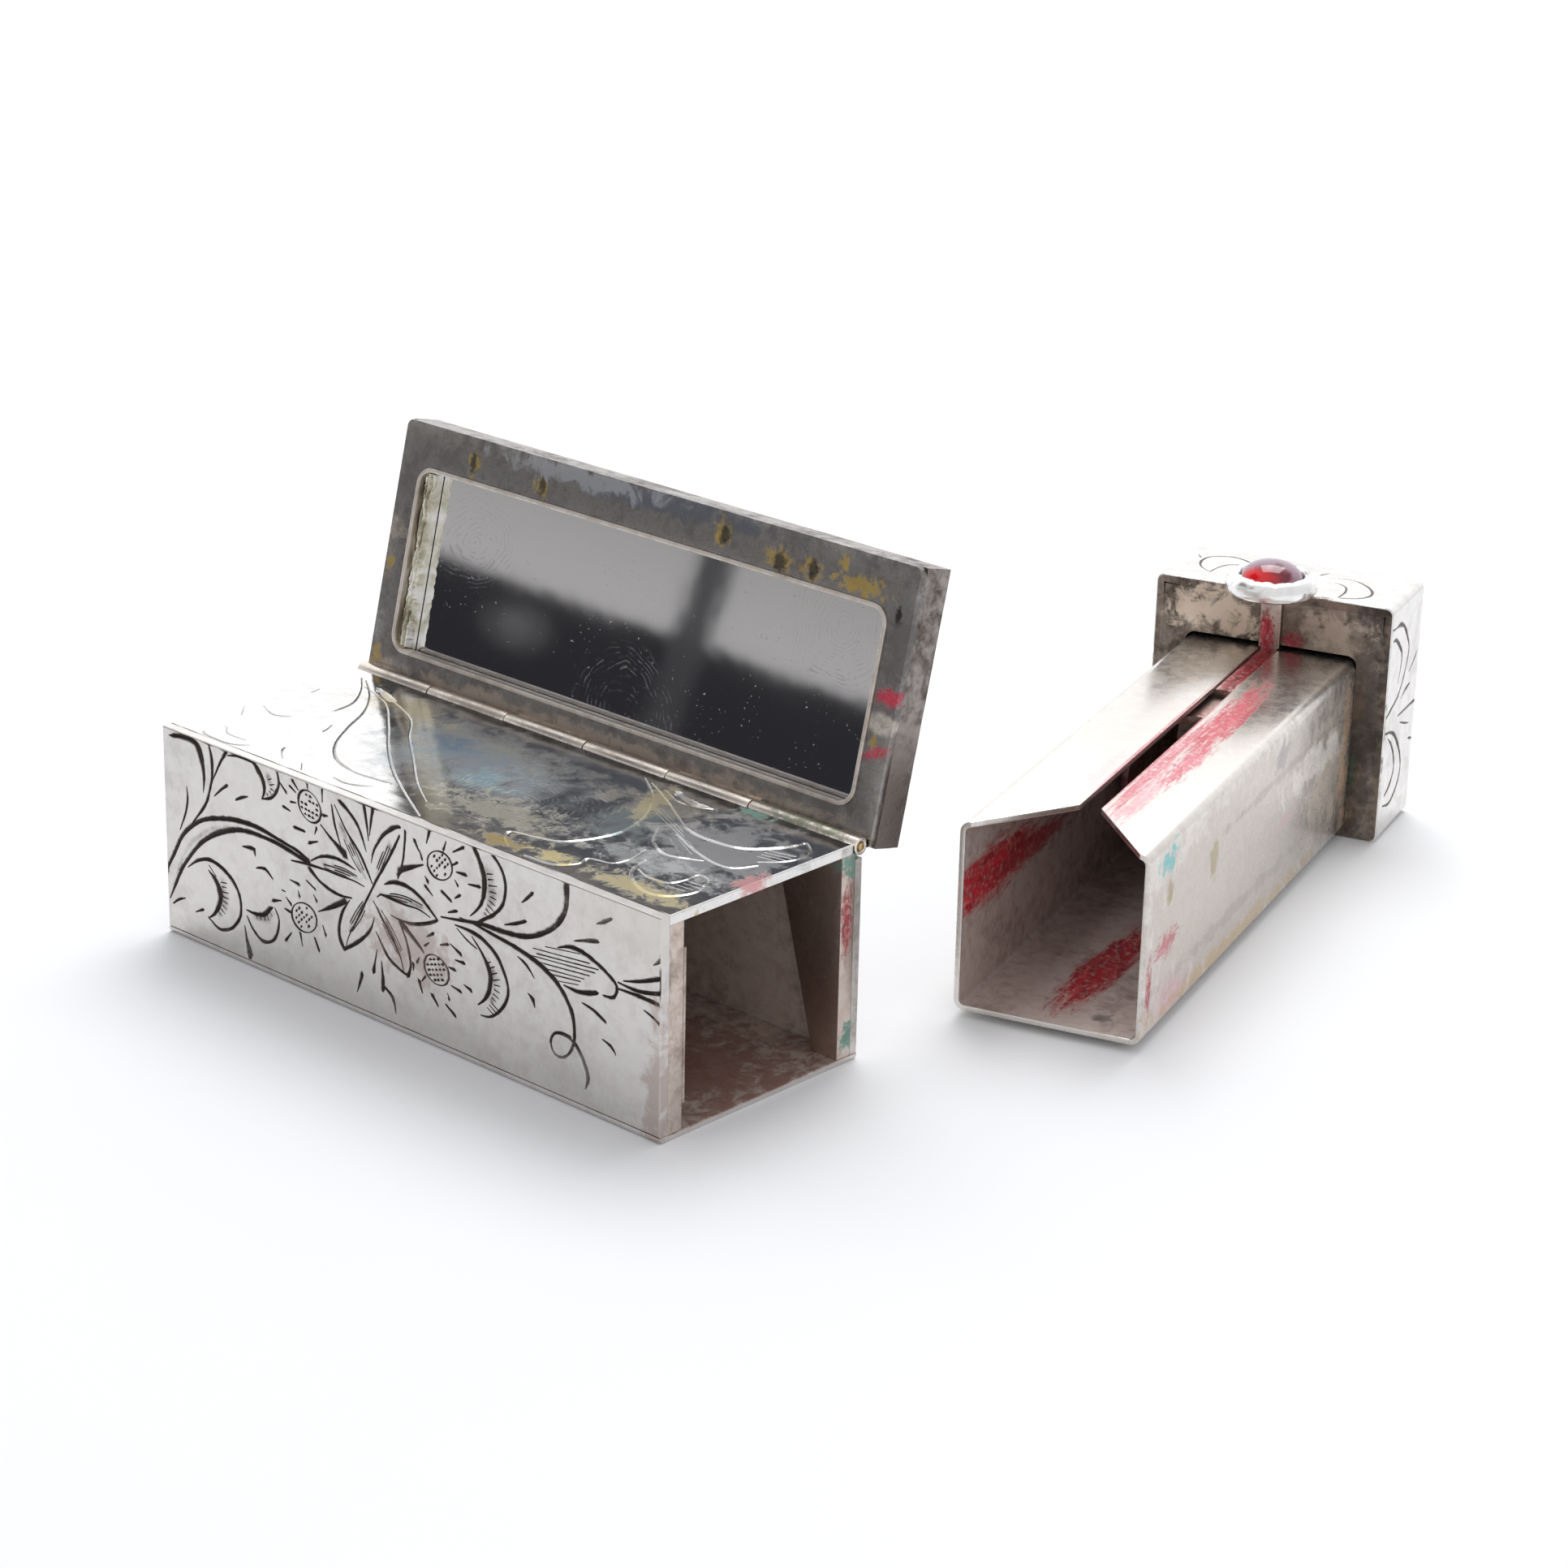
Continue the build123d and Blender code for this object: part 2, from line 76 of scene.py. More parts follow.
# Engraved strokes: along, across and half width at each point, in mm on the panel.
FRONT = (
    "-27.2 5.18 0.09  -26.13 6.96 0.14  -24.88 8.93 0.16  -22.74 10.62 0.16  -20.06 11.52 0.16"
    "  -17.91 11.88 0.16  -15.77 11.93 0.14  -13.27 11.61 0.12  -11.49 11.34 0.12  -10.06 10.89 0.14",
    "-26.84 2.95 0.05  -26.13 4.29 0.11  -25.24 5.89 0.14  -23.99 7.5 0.14  -22.56 8.93 0.16"
    "  -20.59 10.18 0.18  -17.91 11.16 0.16  -14.7 11.34 0.12  -12.2 11.07 0.14  -10.24 10.71 0.16",
    "-12.11 10.39 0.05  -10.06 10.62 0.09  -7.56 10.79 0.05",
    "-26.31 16.79 0.05  -25.95 16.82 0.14  -24.52 17.05 0.18  -23.36 16.96 0.21  -22.82 16.43 0.25"
    "  -22.47 15.36 0.21  -22.29 14.29 0.12  -22.38 13.12 0.04",
    "-21.57 17.23 0.09  -21.31 16.07 0.14  -21.31 14.64 0.11  -21.66 13.39 0.09  -22.11 12.32 0.11"
    "  -22.91 11.25 0.09  -24.07 9.91 0.04",
    "-19.52 17.29 0.14  -20.32 16.07 0.09  -21.04 14.73 0.05  -21.31 14.29 0.04",
    "-24.38 13.04 0.04  -24.34 12.14 0.09  -24.61 10.89 0.09  -25.36 9.2 0.04",
    "-21.04 13.16 0.04  -20.06 14.02 0.09  -19.49 14.43 0.12",
    "-18.45 13.57 0.07  -17.74 13.93 0.11  -17.02 14.23 0.04",
    "-19.34 16.96 0.05  -17.91 17.25 0.09  -16.49 17.25 0.11  -15.77 16.61 0.18  -15.24 15.89 0.16"
    "  -15.15 15.18 0.12  -15.38 14.55 0.05",
    "-15.38 14.5 0.05  -14.34 14.82 0.11  -13.63 15.54 0.12  -13.31 16.43 0.12  -13.54 17.25 0.09",
    "-11.81 16.96 0.11  -11.13 16.39 0.05",
    "-12.11 16.43 0.09  -11.4 16.12 0.05",
    "-10.15 17.23 0.11  -10.06 16.75 0.05",
    "-8.45 17.23 0.09  -8.41 16.21 0.05",
    "-13.27 16.43 0.05  -12.56 15.8 0.11",
    "-12.02 15.18 0.09  -11.4 15.27 0.05",
    "-12.91 14.55 0.11  -12.11 14.43 0.05",
    "-8.31 15.09 0.11  -7.82 15.21 0.05",
    "-9.16 13.89 0.11  -9.34 13.36 0.04",
    "-11.66 13.21 0.11  -10.5 13.21 0.09",
    "-9.97 12.41 0.11  -8.99 12.82 0.05",
    "-8.63 14.29 0.05  -7.38 13.39 0.12  -6.04 12.59 0.25",
    "-12.29 8.75 0.05  -11.31 8.62 0.11",
    "-10.41 9.25 0.05  -9.43 8.79 0.09",
    "-11.4 8.12 0.04  -11.31 7.68 0.11",
    "-9.61 8.3 0.04  -9.34 7.86 0.11",
    "-13.27 7.62 0.05  -12.91 7.59 0.05",
    "-12.82 7.14 0.05  -12.29 6.7 0.11",
    "-14.34 6.39 0.11  -13.36 6.71 0.04",
    "-13 6.16 0.05  -12.38 6.04 0.11",
    "-8.63 6.07 0.05  -8.36 5.36 0.11",
    "-12.29 4.38 0.05  -13 3.57 0.12",
    "-11.31 4.64 0.11  -11.04 3.66 0.05",
    "-9.61 4.73 0.09  -9.16 3.84 0.12",
    "-9.07 7.09 0.04  -7.56 7.86 0.14  -6.04 8.75 0.23",
    "-24.52 6.25 0.04  -23.27 7.14 0.11  -21.84 7.59 0.12  -20.41 7.32 0.14  -19.16 6.61 0.14"
    "  -18.45 5.71 0.12  -18.27 4.64 0.12  -18.45 3.75 0.11  -19.34 2.68 0.12  -20.24 2.23 0.11"
    "  -21.04 2.14 0.11  -22.2 2.71 0.07",
    "-22.02 6.7 0.05  -21.22 5.98 0.18  -20.77 5 0.25  -20.95 4.11 0.18  -21.49 3.21 0.12"
    "  -22.11 2.71 0.05",
    "-21.93 7.14 0.04  -21.13 6.43 0.05",
    "-17.56 4.7 0.04  -16.49 4.64 0.11  -15.41 4.91 0.14  -14.7 5.62 0.16  -14.43 5.8 0.07",
    "-17.52 4.2 0.05  -16.84 3.21 0.11  -15.77 2.59 0.12  -14.7 2.86 0.12  -13.99 3.66 0.11"
    "  -13.68 5 0.09  -14.16 5.89 0.05",
    "-17.82 3.3 0.04  -17.65 1.96 0.16  -17.41 0.98 0.27  -17.41 0.45 0.07",
    "-17.82 9.91 0.04  -16.49 10 0.16  -16.34 9.55 0.05",
    "-16.22 8.57 0.05  -15.24 8.75 0.11  -14.34 8.21 0.05",
    "-26.49 2.59 0.05  -25.77 3.12 0.09  -24.97 3.48 0.04",
    "-23.72 2.68 0.04  -22.82 3.12 0.11",
    "-7.02 16.34 0.04  -5.77 14.64 0.07  -4.34 13.21 0.11  -3.45 11.96 0.09  -2.91 11.16 0.05",
    "-7.38 16.25 0.07  -7.11 14.82 0.11  -6.4 13.21 0.04",
    "-6.49 16.75 0.14  -5.41 16.16 0.12  -4.34 15.18 0.11  -3.54 13.57 0.04",
    "0.12 15.89 0.09  -0.77 14.29 0.09  -1.66 12.86 0.09  -2.38 11.79 0.09  -2.91 10.89 0.09"
    "  -3.63 9.64 0.07  -4.52 8.04 0.07  -5.59 6.25 0.05  -5.95 5.36 0.04",
    "-2.97 12.86 0.04  -2.65 13.93 0.09  -1.66 15.36 0.12  -0.41 16.34 0.14  0.21 16.57 0.09",
    "0.75 16.43 0.11  0.66 15.36 0.09  0.48 14.11 0.09  0.21 13.21 0.07",
    "-8.63 10.75 0.04  -6.66 10.75 0.07  -5.06 10.8 0.05  -3.81 10.68 0.04",
    "-9.79 11.04 0.04  -8.63 11.7 0.09  -7.2 12 0.11  -5.95 11.96 0.09  -4.79 11.75 0.04",
    "-10.06 10.27 0.16  -8.99 9.64 0.11  -7.74 9.25 0.11  -6.49 9.14 0.09  -5.24 9.32 0.05",
    "-5.5 9.11 0.04  -6.4 7.86 0.11  -6.84 6.43 0.14  -6.75 5.54 0.16  -6.22 4.82 0.12",
    "-6.22 4.82 0.12  -4.88 5.71 0.14  -3.81 6.61 0.11  -3.09 7.5 0.09  -2.74 8.48 0.04",
    "-2.82 9.82 0.04  -1.84 8.57 0.09  -0.77 7.32 0.11  0.12 6.07 0.07  0.39 5.18 0.05",
    "-2.56 7.41 0.04  -2.02 6.61 0.09  -1.31 5.71 0.12  -0.24 5.18 0.11  0.75 4.91 0.09",
    "0.03 8.93 0.07  0.66 7.86 0.09  1.01 6.79 0.11  1.19 5.71 0.09  0.84 4.91 0.14",
    "-1.57 11.52 0.04  -0.5 11.96 0.14  0.93 12.05 0.12  2.35 11.61 0.12  3.43 10.89 0.11  4.14 10.39 0.07",
    "4.14 10.36 0.09  3.07 9.82 0.14  1.46 9.29 0.11  0.03 9.2 0.07  -0.86 9.29 0.04",
    "-2.38 10.27 0.04  -2.02 10.57 0.07  -0.5 10.57 0.11  0.75 10.54 0.07  2.18 10.62 0.05"
    "  3.43 10.36 0.04",
    "-3.81 17.25 0.14  -3.54 16.07 0.11  -3.27 14.55 0.04",
    "-2.82 17.25 0.14  -3 16.25 0.11  -3.15 15 0.04",
    "-2.5 5.98 0.04  -2.74 5 0.07  -3 4.02 0.16",
    "-4.29 3.48 0.14  -4.52 2.68 0.11  -4.82 1.79 0.04",
    "-2.02 5.18 0.04  -1.97 3.93 0.14  -1.99 2.86 0.16",
    "-1.75 3.12 0.11  -0.86 2.5 0.16  -0.5 1.43 0.05",
    "-0.05 12.41 0.05  0.12 13.04 0.21  1.11 13.57 0.16  2.71 14.32 0.05",
    "3.34 17.14 0.12  3.07 16.16 0.05",
    "5.18 16.88 0.05  4.86 16.16 0.09",
    "7 16.96 0.11  5.93 16.29 0.05",
    "1.73 15.98 0.12  2.18 15.36 0.07",
    "2.32 15.36 0.05  2.57 14.73 0.09",
    "5.84 15.18 0.05  6.38 15.54 0.09",
    "6.29 14.79 0.05  7.27 14.82 0.12",
    "7.54 14.2 0.05  8.7 14.32 0.11",
    "6.11 14.11 0.05  6.38 13.75 0.11",
    "2.89 13.48 0.05  3.16 13.12 0.11",
    "2.89 12.68 0.12  3.7 12.18 0.05",
    "4.68 12.77 0.11  5.66 12.32 0.09",
    "6.11 12.68 0.05  6.64 13.04 0.11",
    "5.39 11.34 0.05  6.29 11.7 0.11",
    "0.12 8.93 0.16  1.11 8.3 0.18  2 7.77 0.14  2.62 7.32 0.07",
    "3.7 9.2 0.11  3.07 8.75 0.05",
    "3.25 8.3 0.05  2.8 7.95 0.09",
    "4.5 8.48 0.05  5.3 8.75 0.11",
    "5.57 8.89 0.05  6.64 8.36 0.14",
    "6.11 7.77 0.05  7 7.77 0.11",
    "5.39 6.96 0.05  6.02 6.93 0.11",
    "7 6.07 0.05  7.71 5.8 0.14",
    "5.66 5.57 0.05  6.64 5.36 0.11",
    "2.18 6.79 0.05  1.91 6.34 0.09",
    "1.46 6.07 0.12  1.5 5.54 0.05",
    "2.8 5.45 0.11  2.45 5 0.05",
    "2.09 4.82 0.14  2.45 4.02 0.07",
    "3.52 4.11 0.14  4.14 3.48 0.09",
    "5.04 3.84 0.07  6.02 3.21 0.12",
    "5.21 4.82 0.05  5.34 4.38 0.11",
    "8.07 17.25 0.18  8.79 16.07 0.18  9.14 14.82 0.21  8.96 13.39 0.14  8.43 12.5 0.09  7.71 11.79 0.04",
    "10.04 17.21 0.11  10.93 16.43 0.12  11.38 15.18 0.12  11.11 13.75 0.12  10.21 12.68 0.12"
    "  9.14 11.96 0.11  8.07 11.34 0.09  6.64 11.34 0.05",
    "7.89 10.18 0.05  8.96 9.11 0.11  9.68 7.86 0.18  9.68 6.79 0.18  9.23 5.71 0.12  8.52 5 0.05",
    "6.11 10.57 0.05  7.54 10.54 0.11  8.96 10.27 0.14  10.39 9.46 0.14  11.29 8.21 0.12"
    "  11.64 7.14 0.11  11.38 6.07 0.11  10.57 5 0.11  9.68 4.38 0.09  8.79 4.25 0.04",
    "6.29 10.36 0.04  7.36 9.73 0.07  8.43 9.38 0.04",
    "9.5 5.04 0.04  10.07 4.68 0.05",
    "9.71 5.32 0.04  10.39 4.91 0.05",
    "9.95 5.57 0.04  10.66 5.14 0.05",
    "4.59 10.75 0.05  6.64 11.07 0.09  8.79 11.43 0.12  11.11 11.52 0.16  13.43 11.82 0.16"
    "  15.21 12.59 0.16  16.64 13.66 0.18  17.54 15 0.2  17.75 16.25 0.21  17.75 17.25 0.21",
    "8.07 11.25 0.07  10.21 10.98 0.11  12.36 10.71 0.14  14.68 10.18 0.16  16.46 9.38 0.16"
    "  17.71 8.21 0.16  18.34 6.96 0.16  18.46 5.36 0.12  18.07 4.29 0.09  17.36 3.66 0.09"
    "  16.55 3.66 0.09  16.14 4.38 0.09  16.46 5.18 0.09  17.36 5.45 0.11  18.43 5.18 0.14"
    "  19.32 4.11 0.16  19.86 2.86 0.16  19.68 1.96 0.05",
    "16.82 12.05 0.04  18.07 12.45 0.12  19.32 12.41 0.14  20.57 12.05 0.14  21.82 11.52 0.12"
    "  22.71 10.89 0.11  22.45 10 0.11  21.46 9.82 0.07",
    "17.45 9.32 0.05  18.79 9.23 0.12  20.04 9.46 0.16  20.75 9.73 0.14",
    "15.57 11.75 0.03  19.14 12.27 0.03",
    "14.32 11.25 0.03  20.04 11.82 0.04",
    "14.68 10.93 0.04  20.93 11.61 0.04",
    "14.14 10.62 0.03  20.57 11.25 0.04",
    "14.86 10.32 0.04  20.04 10.86 0.04",
    "15.21 10 0.04  19.5 10.45 0.03",
    "15.57 9.7 0.04  19.14 10.14 0.04",
    "16.64 9.43 0.03  18.96 9.82 0.03",
    "11.38 12.18 0.04  12.54 12.59 0.11  13.52 13.07 0.09",
    "13.16 14.46 0.04  13.7 14.91 0.11  14.23 15.45 0.11",
    "18.52 13.09 0.04  19.68 13.43 0.11  20.84 13.71 0.12",
    "20.75 15.09 0.04  21.46 15.39 0.12  22.18 15.86 0.09",
    "12.71 10.09 0.04  13.61 9.64 0.11  14.41 8.93 0.04",
    "13.79 7.5 0.05  14.23 7.14 0.14  14.46 6.64 0.04",
    "19.32 8.54 0.04  20.39 8.3 0.11  21.64 7.77 0.09",
    "21.38 6.34 0.05  22.18 6.07 0.11  22.71 5.57 0.05",
    "23.43 11.52 0.04  25.04 11.96 0.11  27.09 12.77 0.14",
    "22.89 11.25 0.05  24.86 11.16 0.11  27.09 11.61 0.14",
    "22.71 10.75 0.05  24.86 10.8 0.12  27.09 10.75 0.12",
    "25.48 9.91 0.05  26.29 9.64 0.09  27.09 9.25 0.07",
    "26.38 13.66 0.05  27.09 14.11 0.14",
)

TOP = (
    "-24.7 8.04 0.11  -22.56 6.07 0.11  -20.77 3.57 0.14  -20.41 0.71 0.14  -21.31 -1.43 0.14"
    "  -22.91 -2.68 0.11  -25.06 -1.96 0.07",
    "-23.99 7.86 0.11  -21.13 5.71 0.14  -18.63 2.86 0.14  -16.84 -0.36 0.14  -14.7 -3.57 0.14"
    "  -12.2 -5.71 0.18  -9.34 -6.61 0.18  -6.84 -6.5 0.18  -5.24 -6.25 0.14",
    "-5.24 -6.25 0.11  -6.13 -7.86 0.14  -7.74 -8.64 0.14  -9.34 -8.5 0.07",
    "-22.91 6.79 0.11  -18.99 5.36 0.11  -15.06 2.14 0.14  -11.49 -1.07 0.14  -7.91 -3.93 0.14"
    "  -4.34 -6.25 0.14  1.01 -9.29 0.11",
    "-21.84 7.14 0.07  -15.41 4.64 0.11  -11.84 1.43 0.11  -8.27 -1.43 0.11  -4.34 -4.64 0.11"
    "  -0.77 -6.96 0.07",
    "-18.09 -0.89 0.07  -17.38 -2.86 0.14  -18.09 -5.36 0.14  -18.63 -7.86 0.14  -20.06 -9.29 0.14"
    "  -22.2 -9.46 0.14  -23.81 -9.11 0.14  -23.99 -7.86 0.11  -23.45 -7.14 0.07  -22.2 -8.04 0.11"
    "  -20.06 -8.04 0.07",
    "-17.02 -5 0.07  -16.66 -7.14 0.14  -15.06 -8.64 0.07",
    "-26.13 -3.04 0.07  -24.7 -4.57 0.11",
    "-13.27 -8.21 0.07  -12.2 -9.21 0.07",
    "-25.06 3.93 0.07  -24.88 2.86 0.11",
    "7.09 8.21 0.07  9.94 6.07 0.14  12.09 3.57 0.14  13.34 0.71 0.18  13.51 -2.14 0.18"
    "  12.09 -5.18 0.18  9.94 -6.07 0.14  7.98 -6.61 0.14  8.51 -7.86 0.14  9.94 -8.75 0.07",
    "8.16 7.86 0.07  11.37 6.07 0.14  14.23 4.29 0.14  16.73 2.86 0.18  19.23 2.5 0.21"
    "  22.09 3.04 0.21  23.87 5 0.25  24.59 6.96 0.18",
    "24.59 7.14 0.11  26.19 5.71 0.14  26.01 3.57 0.14  24.59 1.96 0.11",
    "14.94 1.61 0.07  16.73 -0.71 0.14  18.87 -1.79 0.18  21.01 -1.07 0.14  21.73 -0.71 0.07",
    "16.73 1.61 0.07  19.59 0.36 0.14  22.44 -0.46 0.14  24.23 -0.18 0.14  25.12 1.43 0.11",
    "18.69 -3.57 0.11  19.23 -5.36 0.14  20.66 -6.96 0.18  22.8 -7.86 0.21  24.59 -7.32 0.18"
    "  25.48 -5.36 0.14  24.59 -3.21 0.14  23.34 -2.86 0.11  23.34 -4.29 0.14  22.8 -5.54 0.14"
    "  21.01 -5.71 0.14  19.59 -5.18 0.07",
    "17.26 -2.14 0.07  17.8 -4.29 0.11  17.44 -5.71 0.11  15.66 -6.25 0.14  15.84 -7.5 0.14"
    "  14.59 -8.93 0.18  12.09 -9.11 0.14",
    "9.94 7.5 0.07  12.09 6.5 0.14  13.87 6.61 0.11  15.12 7.21 0.11",
    "12.26 4.64 0.04  16.73 2.32 0.05",
    "12.44 4.18 0.04  17.44 1.71 0.05",
    "12.73 3.64 0.04  18.16 1.14 0.05",
    "17.09 0.64 0.04  19.23 -0.71 0.05",
    "17.62 1 0.04  20.3 -0.43 0.05",
    "18.16 1.29 0.04  21.01 -0.18 0.05",
    "23.69 4.11 0.04  25.84 4.64 0.05",
    "23.69 3.64 0.04  25.84 4.11 0.05",
    "23.8 3.18 0.04  25.76 3.57 0.05",
    "23.87 2.71 0.04  25.66 3.07 0.05",
    "23.69 -4.29 0.04  25.12 -4.11 0.05",
    "23.69 -4.79 0.04  25.12 -4.64 0.05",
    "23.51 -5.36 0.04  25.01 -5.21 0.05",
    "23.16 -5.93 0.04  24.76 -5.79 0.05",
)

CAP_TOP = (
    "52.4 6.7 0.04  53.5 7.8 0.08  55.1 8.3 0.1  56.5 7.9 0.08  57.3 6.3 0.08  56.9 4.9 0.08"
    "  56.1 4.06 0.08  55.2 4.06 0.06",
    "52.4 6.6 0.06  53.7 6.4 0.06  54.9 5.9 0.08  55.4 5.1 0.08  55.2 4.14 0.06",
    "55.9 8.66 0.08  56.6 9.1 0.04",
    "50.8 -5.5 0.06  51.4 -6.9 0.08  52.7 -7.6 0.1  54.3 -7.1 0.1  55.7 -5.7 0.1  56.14 -4.5 0.08"
    "  55.7 -2.7 0.08  55.1 -1.8 0.06",
    "50.9 -5.3 0.06  52.5 -5.4 0.08  53.9 -5 0.08  54.7 -3.8 0.08  54.5 -2.7 0.06  53.9 -2.1 0.04",
    "56.1 -2.1 0.08  56.9 -2.6 0.04",
)

CAP_SIDE = (
    "50.2 19.1 0.08  51.1 19 0.08  52.5 19 0.18  53.7 18.5 0.16  54.7 17.5 0.16  55.6 16.1 0.12"
    "  55.2 14.6 0.12  54.3 13.2 0.12  53.1 12.2 0.12  51.7 11.7 0.12  50.2 11.24 0.1",
    "50.5 18 0.06  51.5 17.9 0.16  52.5 17.2 0.16  53.5 16.2 0.16  53.5 15 0.1  52.9 13.6 0.06",
    "50.2 9.86 0.08  51.5 9.6 0.12  52.9 9.1 0.16  54.1 8.1 0.16  55.2 6.8 0.16  55.9 5.2 0.14"
    "  55.3 3.8 0.14  54.1 2.9 0.14  52.9 2.6 0.12  51.1 3 0.06",
    "51.1 9.2 0.04  52.5 8.2 0.12  53.5 6.8 0.16  53.8 5.6 0.16  52.9 4.4 0.16  51.5 3.8 0.1",
    "54.2 11.8 0.04  55.5 12.3 0.14  56.7 12.5 0.06",
    "53.7 10.4 0.06  55.9 10.46 0.16  58.7 10.3 0.12",
    "54.5 9.6 0.04  55.9 9.1 0.1  57.3 8.66 0.04",
    "57.5 7.2 0.06  58.2 7 0.14  58.66 6.84 0.08",
    "56.1 13.7 0.06  57.3 14.3 0.12  58.3 15 0.06",
)


# ---------------------------------------------------------------- node helpers

def node(tree, kind, ins=None, out=0, **props):
    """Adds a shader node, sets its properties and feeds its inputs. Returns an output socket."""
    made = tree.nodes.new(kind)
    for key, value in props.items():
        setattr(made, key, value)
    for key, value in (ins or {}).items():
        socket = made.inputs[key]
        if isinstance(value, bpy.types.NodeSocket):
            tree.links.new(value, socket)
        elif isinstance(value, tuple) and len(value) == 3 and socket.type == "RGBA":
            socket.default_value = (*value, 1)
        else:
            socket.default_value = value
    return made.outputs[out] if len(made.outputs) else None


def ramp(tree, fac, stops):
    """A colour ramp through (position, colour) stops."""
    made = tree.nodes.new("ShaderNodeValToRGB")
    points = made.color_ramp.elements
    while len(points) < len(stops):
        points.new(0.5)
    for point, (where, value) in zip(points, stops):
        point.position = where
        point.color = (*value, 1)
    tree.links.new(fac, made.inputs[0])
    return made.outputs[0]


def mix(tree, fac, a, b):
    """Colour a blended towards b by fac."""
    made = tree.nodes.new("ShaderNodeMix")
    made.data_type = "RGBA"
    for index, value in ((0, fac), (6, a), (7, b)):
        socket = made.inputs[index]
        if isinstance(value, bpy.types.NodeSocket):
            tree.links.new(value, socket)
        elif isinstance(value, tuple):
            socket.default_value = (*value, 1)
        else:
            socket.default_value = value
    return made.outputs[2]


def calc(tree, op, a, b=0.0, c=0.0):
    return node(tree, "ShaderNodeMath", {0: a, 1: b, 2: c}, operation=op)


def times(tree, a, b):
    return calc(tree, "MULTIPLY", a, b)


def plus(tree, a, b):
    return calc(tree, "ADD", a, b)


def centred(tree, a):
    """A noise value moved from 0..1 to -0.5..0.5."""
    return calc(tree, "SUBTRACT", a, 0.5)


def level(tree, fac, low, high):
    """0 below low, 1 above high, eased between. Falls instead if low is above high."""
    return node(
        tree, "ShaderNodeMapRange", {0: fac, 1: low, 2: high, 3: 0.0, 4: 1.0},
        interpolation_type="SMOOTHSTEP"
    )


def new_tree(name):
    mat = bpy.data.materials.new(name)
    mat.use_nodes = True
    tree = mat.node_tree
    tree.nodes.clear()
    return mat, tree


def place(tree):
    return node(tree, "ShaderNodeTexCoord", out="Object")


def coords(tree, scale=(1, 1, 1), turn=(0, 0, 0), shift=(0, 0, 0)):
    """Object coordinates in millimetres, turned and stretched."""
    turned_in = node(tree, "ShaderNodeMapping", {0: place(tree), 2: turn}, vector_type="POINT")
    return node(
        tree,
        "ShaderNodeMapping",
        {0: turned_in, 1: shift, 3: tuple(s / MM for s in scale)},
        vector_type="POINT",
    )


def noise(tree, vec, scale, detail=6.0, rough=0.6, warp=0.0):
    return node(
        tree,
        "ShaderNodeTexNoise",
        {"Vector": vec, "Scale": scale, "Detail": detail, "Roughness": rough, "Distortion": warp},
    )


def output(tree, **ins):
    shader = node(tree, "ShaderNodeBsdfPrincipled", {k.replace("_", " "): v for k, v in ins.items()})
    node(tree, "ShaderNodeOutputMaterial", {0: shader})


def spot(tree, centre, size, turn=(0, 0, 0)):
    """Distance from a turned ellipsoid's centre, 1 on its surface. Sizes are half lengths in mm."""
    local = node(
        tree,
        "ShaderNodeMapping",
        {0: place(tree), 1: tuple(c * MM for c in centre), 2: turn, 3: tuple(s * MM for s in size)},
        vector_type="TEXTURE",
    )
    reach = node(tree, "ShaderNodeVectorMath", {0: local}, out=1, operation="LENGTH")
    return local, reach


def unit_point(x, y, z):
    """A point of the tube half: x from its mouth, y to its left, z up, in mm."""
    return MOUTH + ALONG * x + LEFT * y + Vector((0, 0, z))


def lid_point(x, u, n):
    """A point of the open lid: x along the hinge, u away from it, n out of the outer face, in mm."""
    return HINGE + LID_U * u + LID_N * n + Vector((x, 0, 0))


UNIT_TURN = (0, 0, YAW)
LID_TURN = (math.radians(-103.5), 0, 0)


# ---------------------------------------------------------------- materials

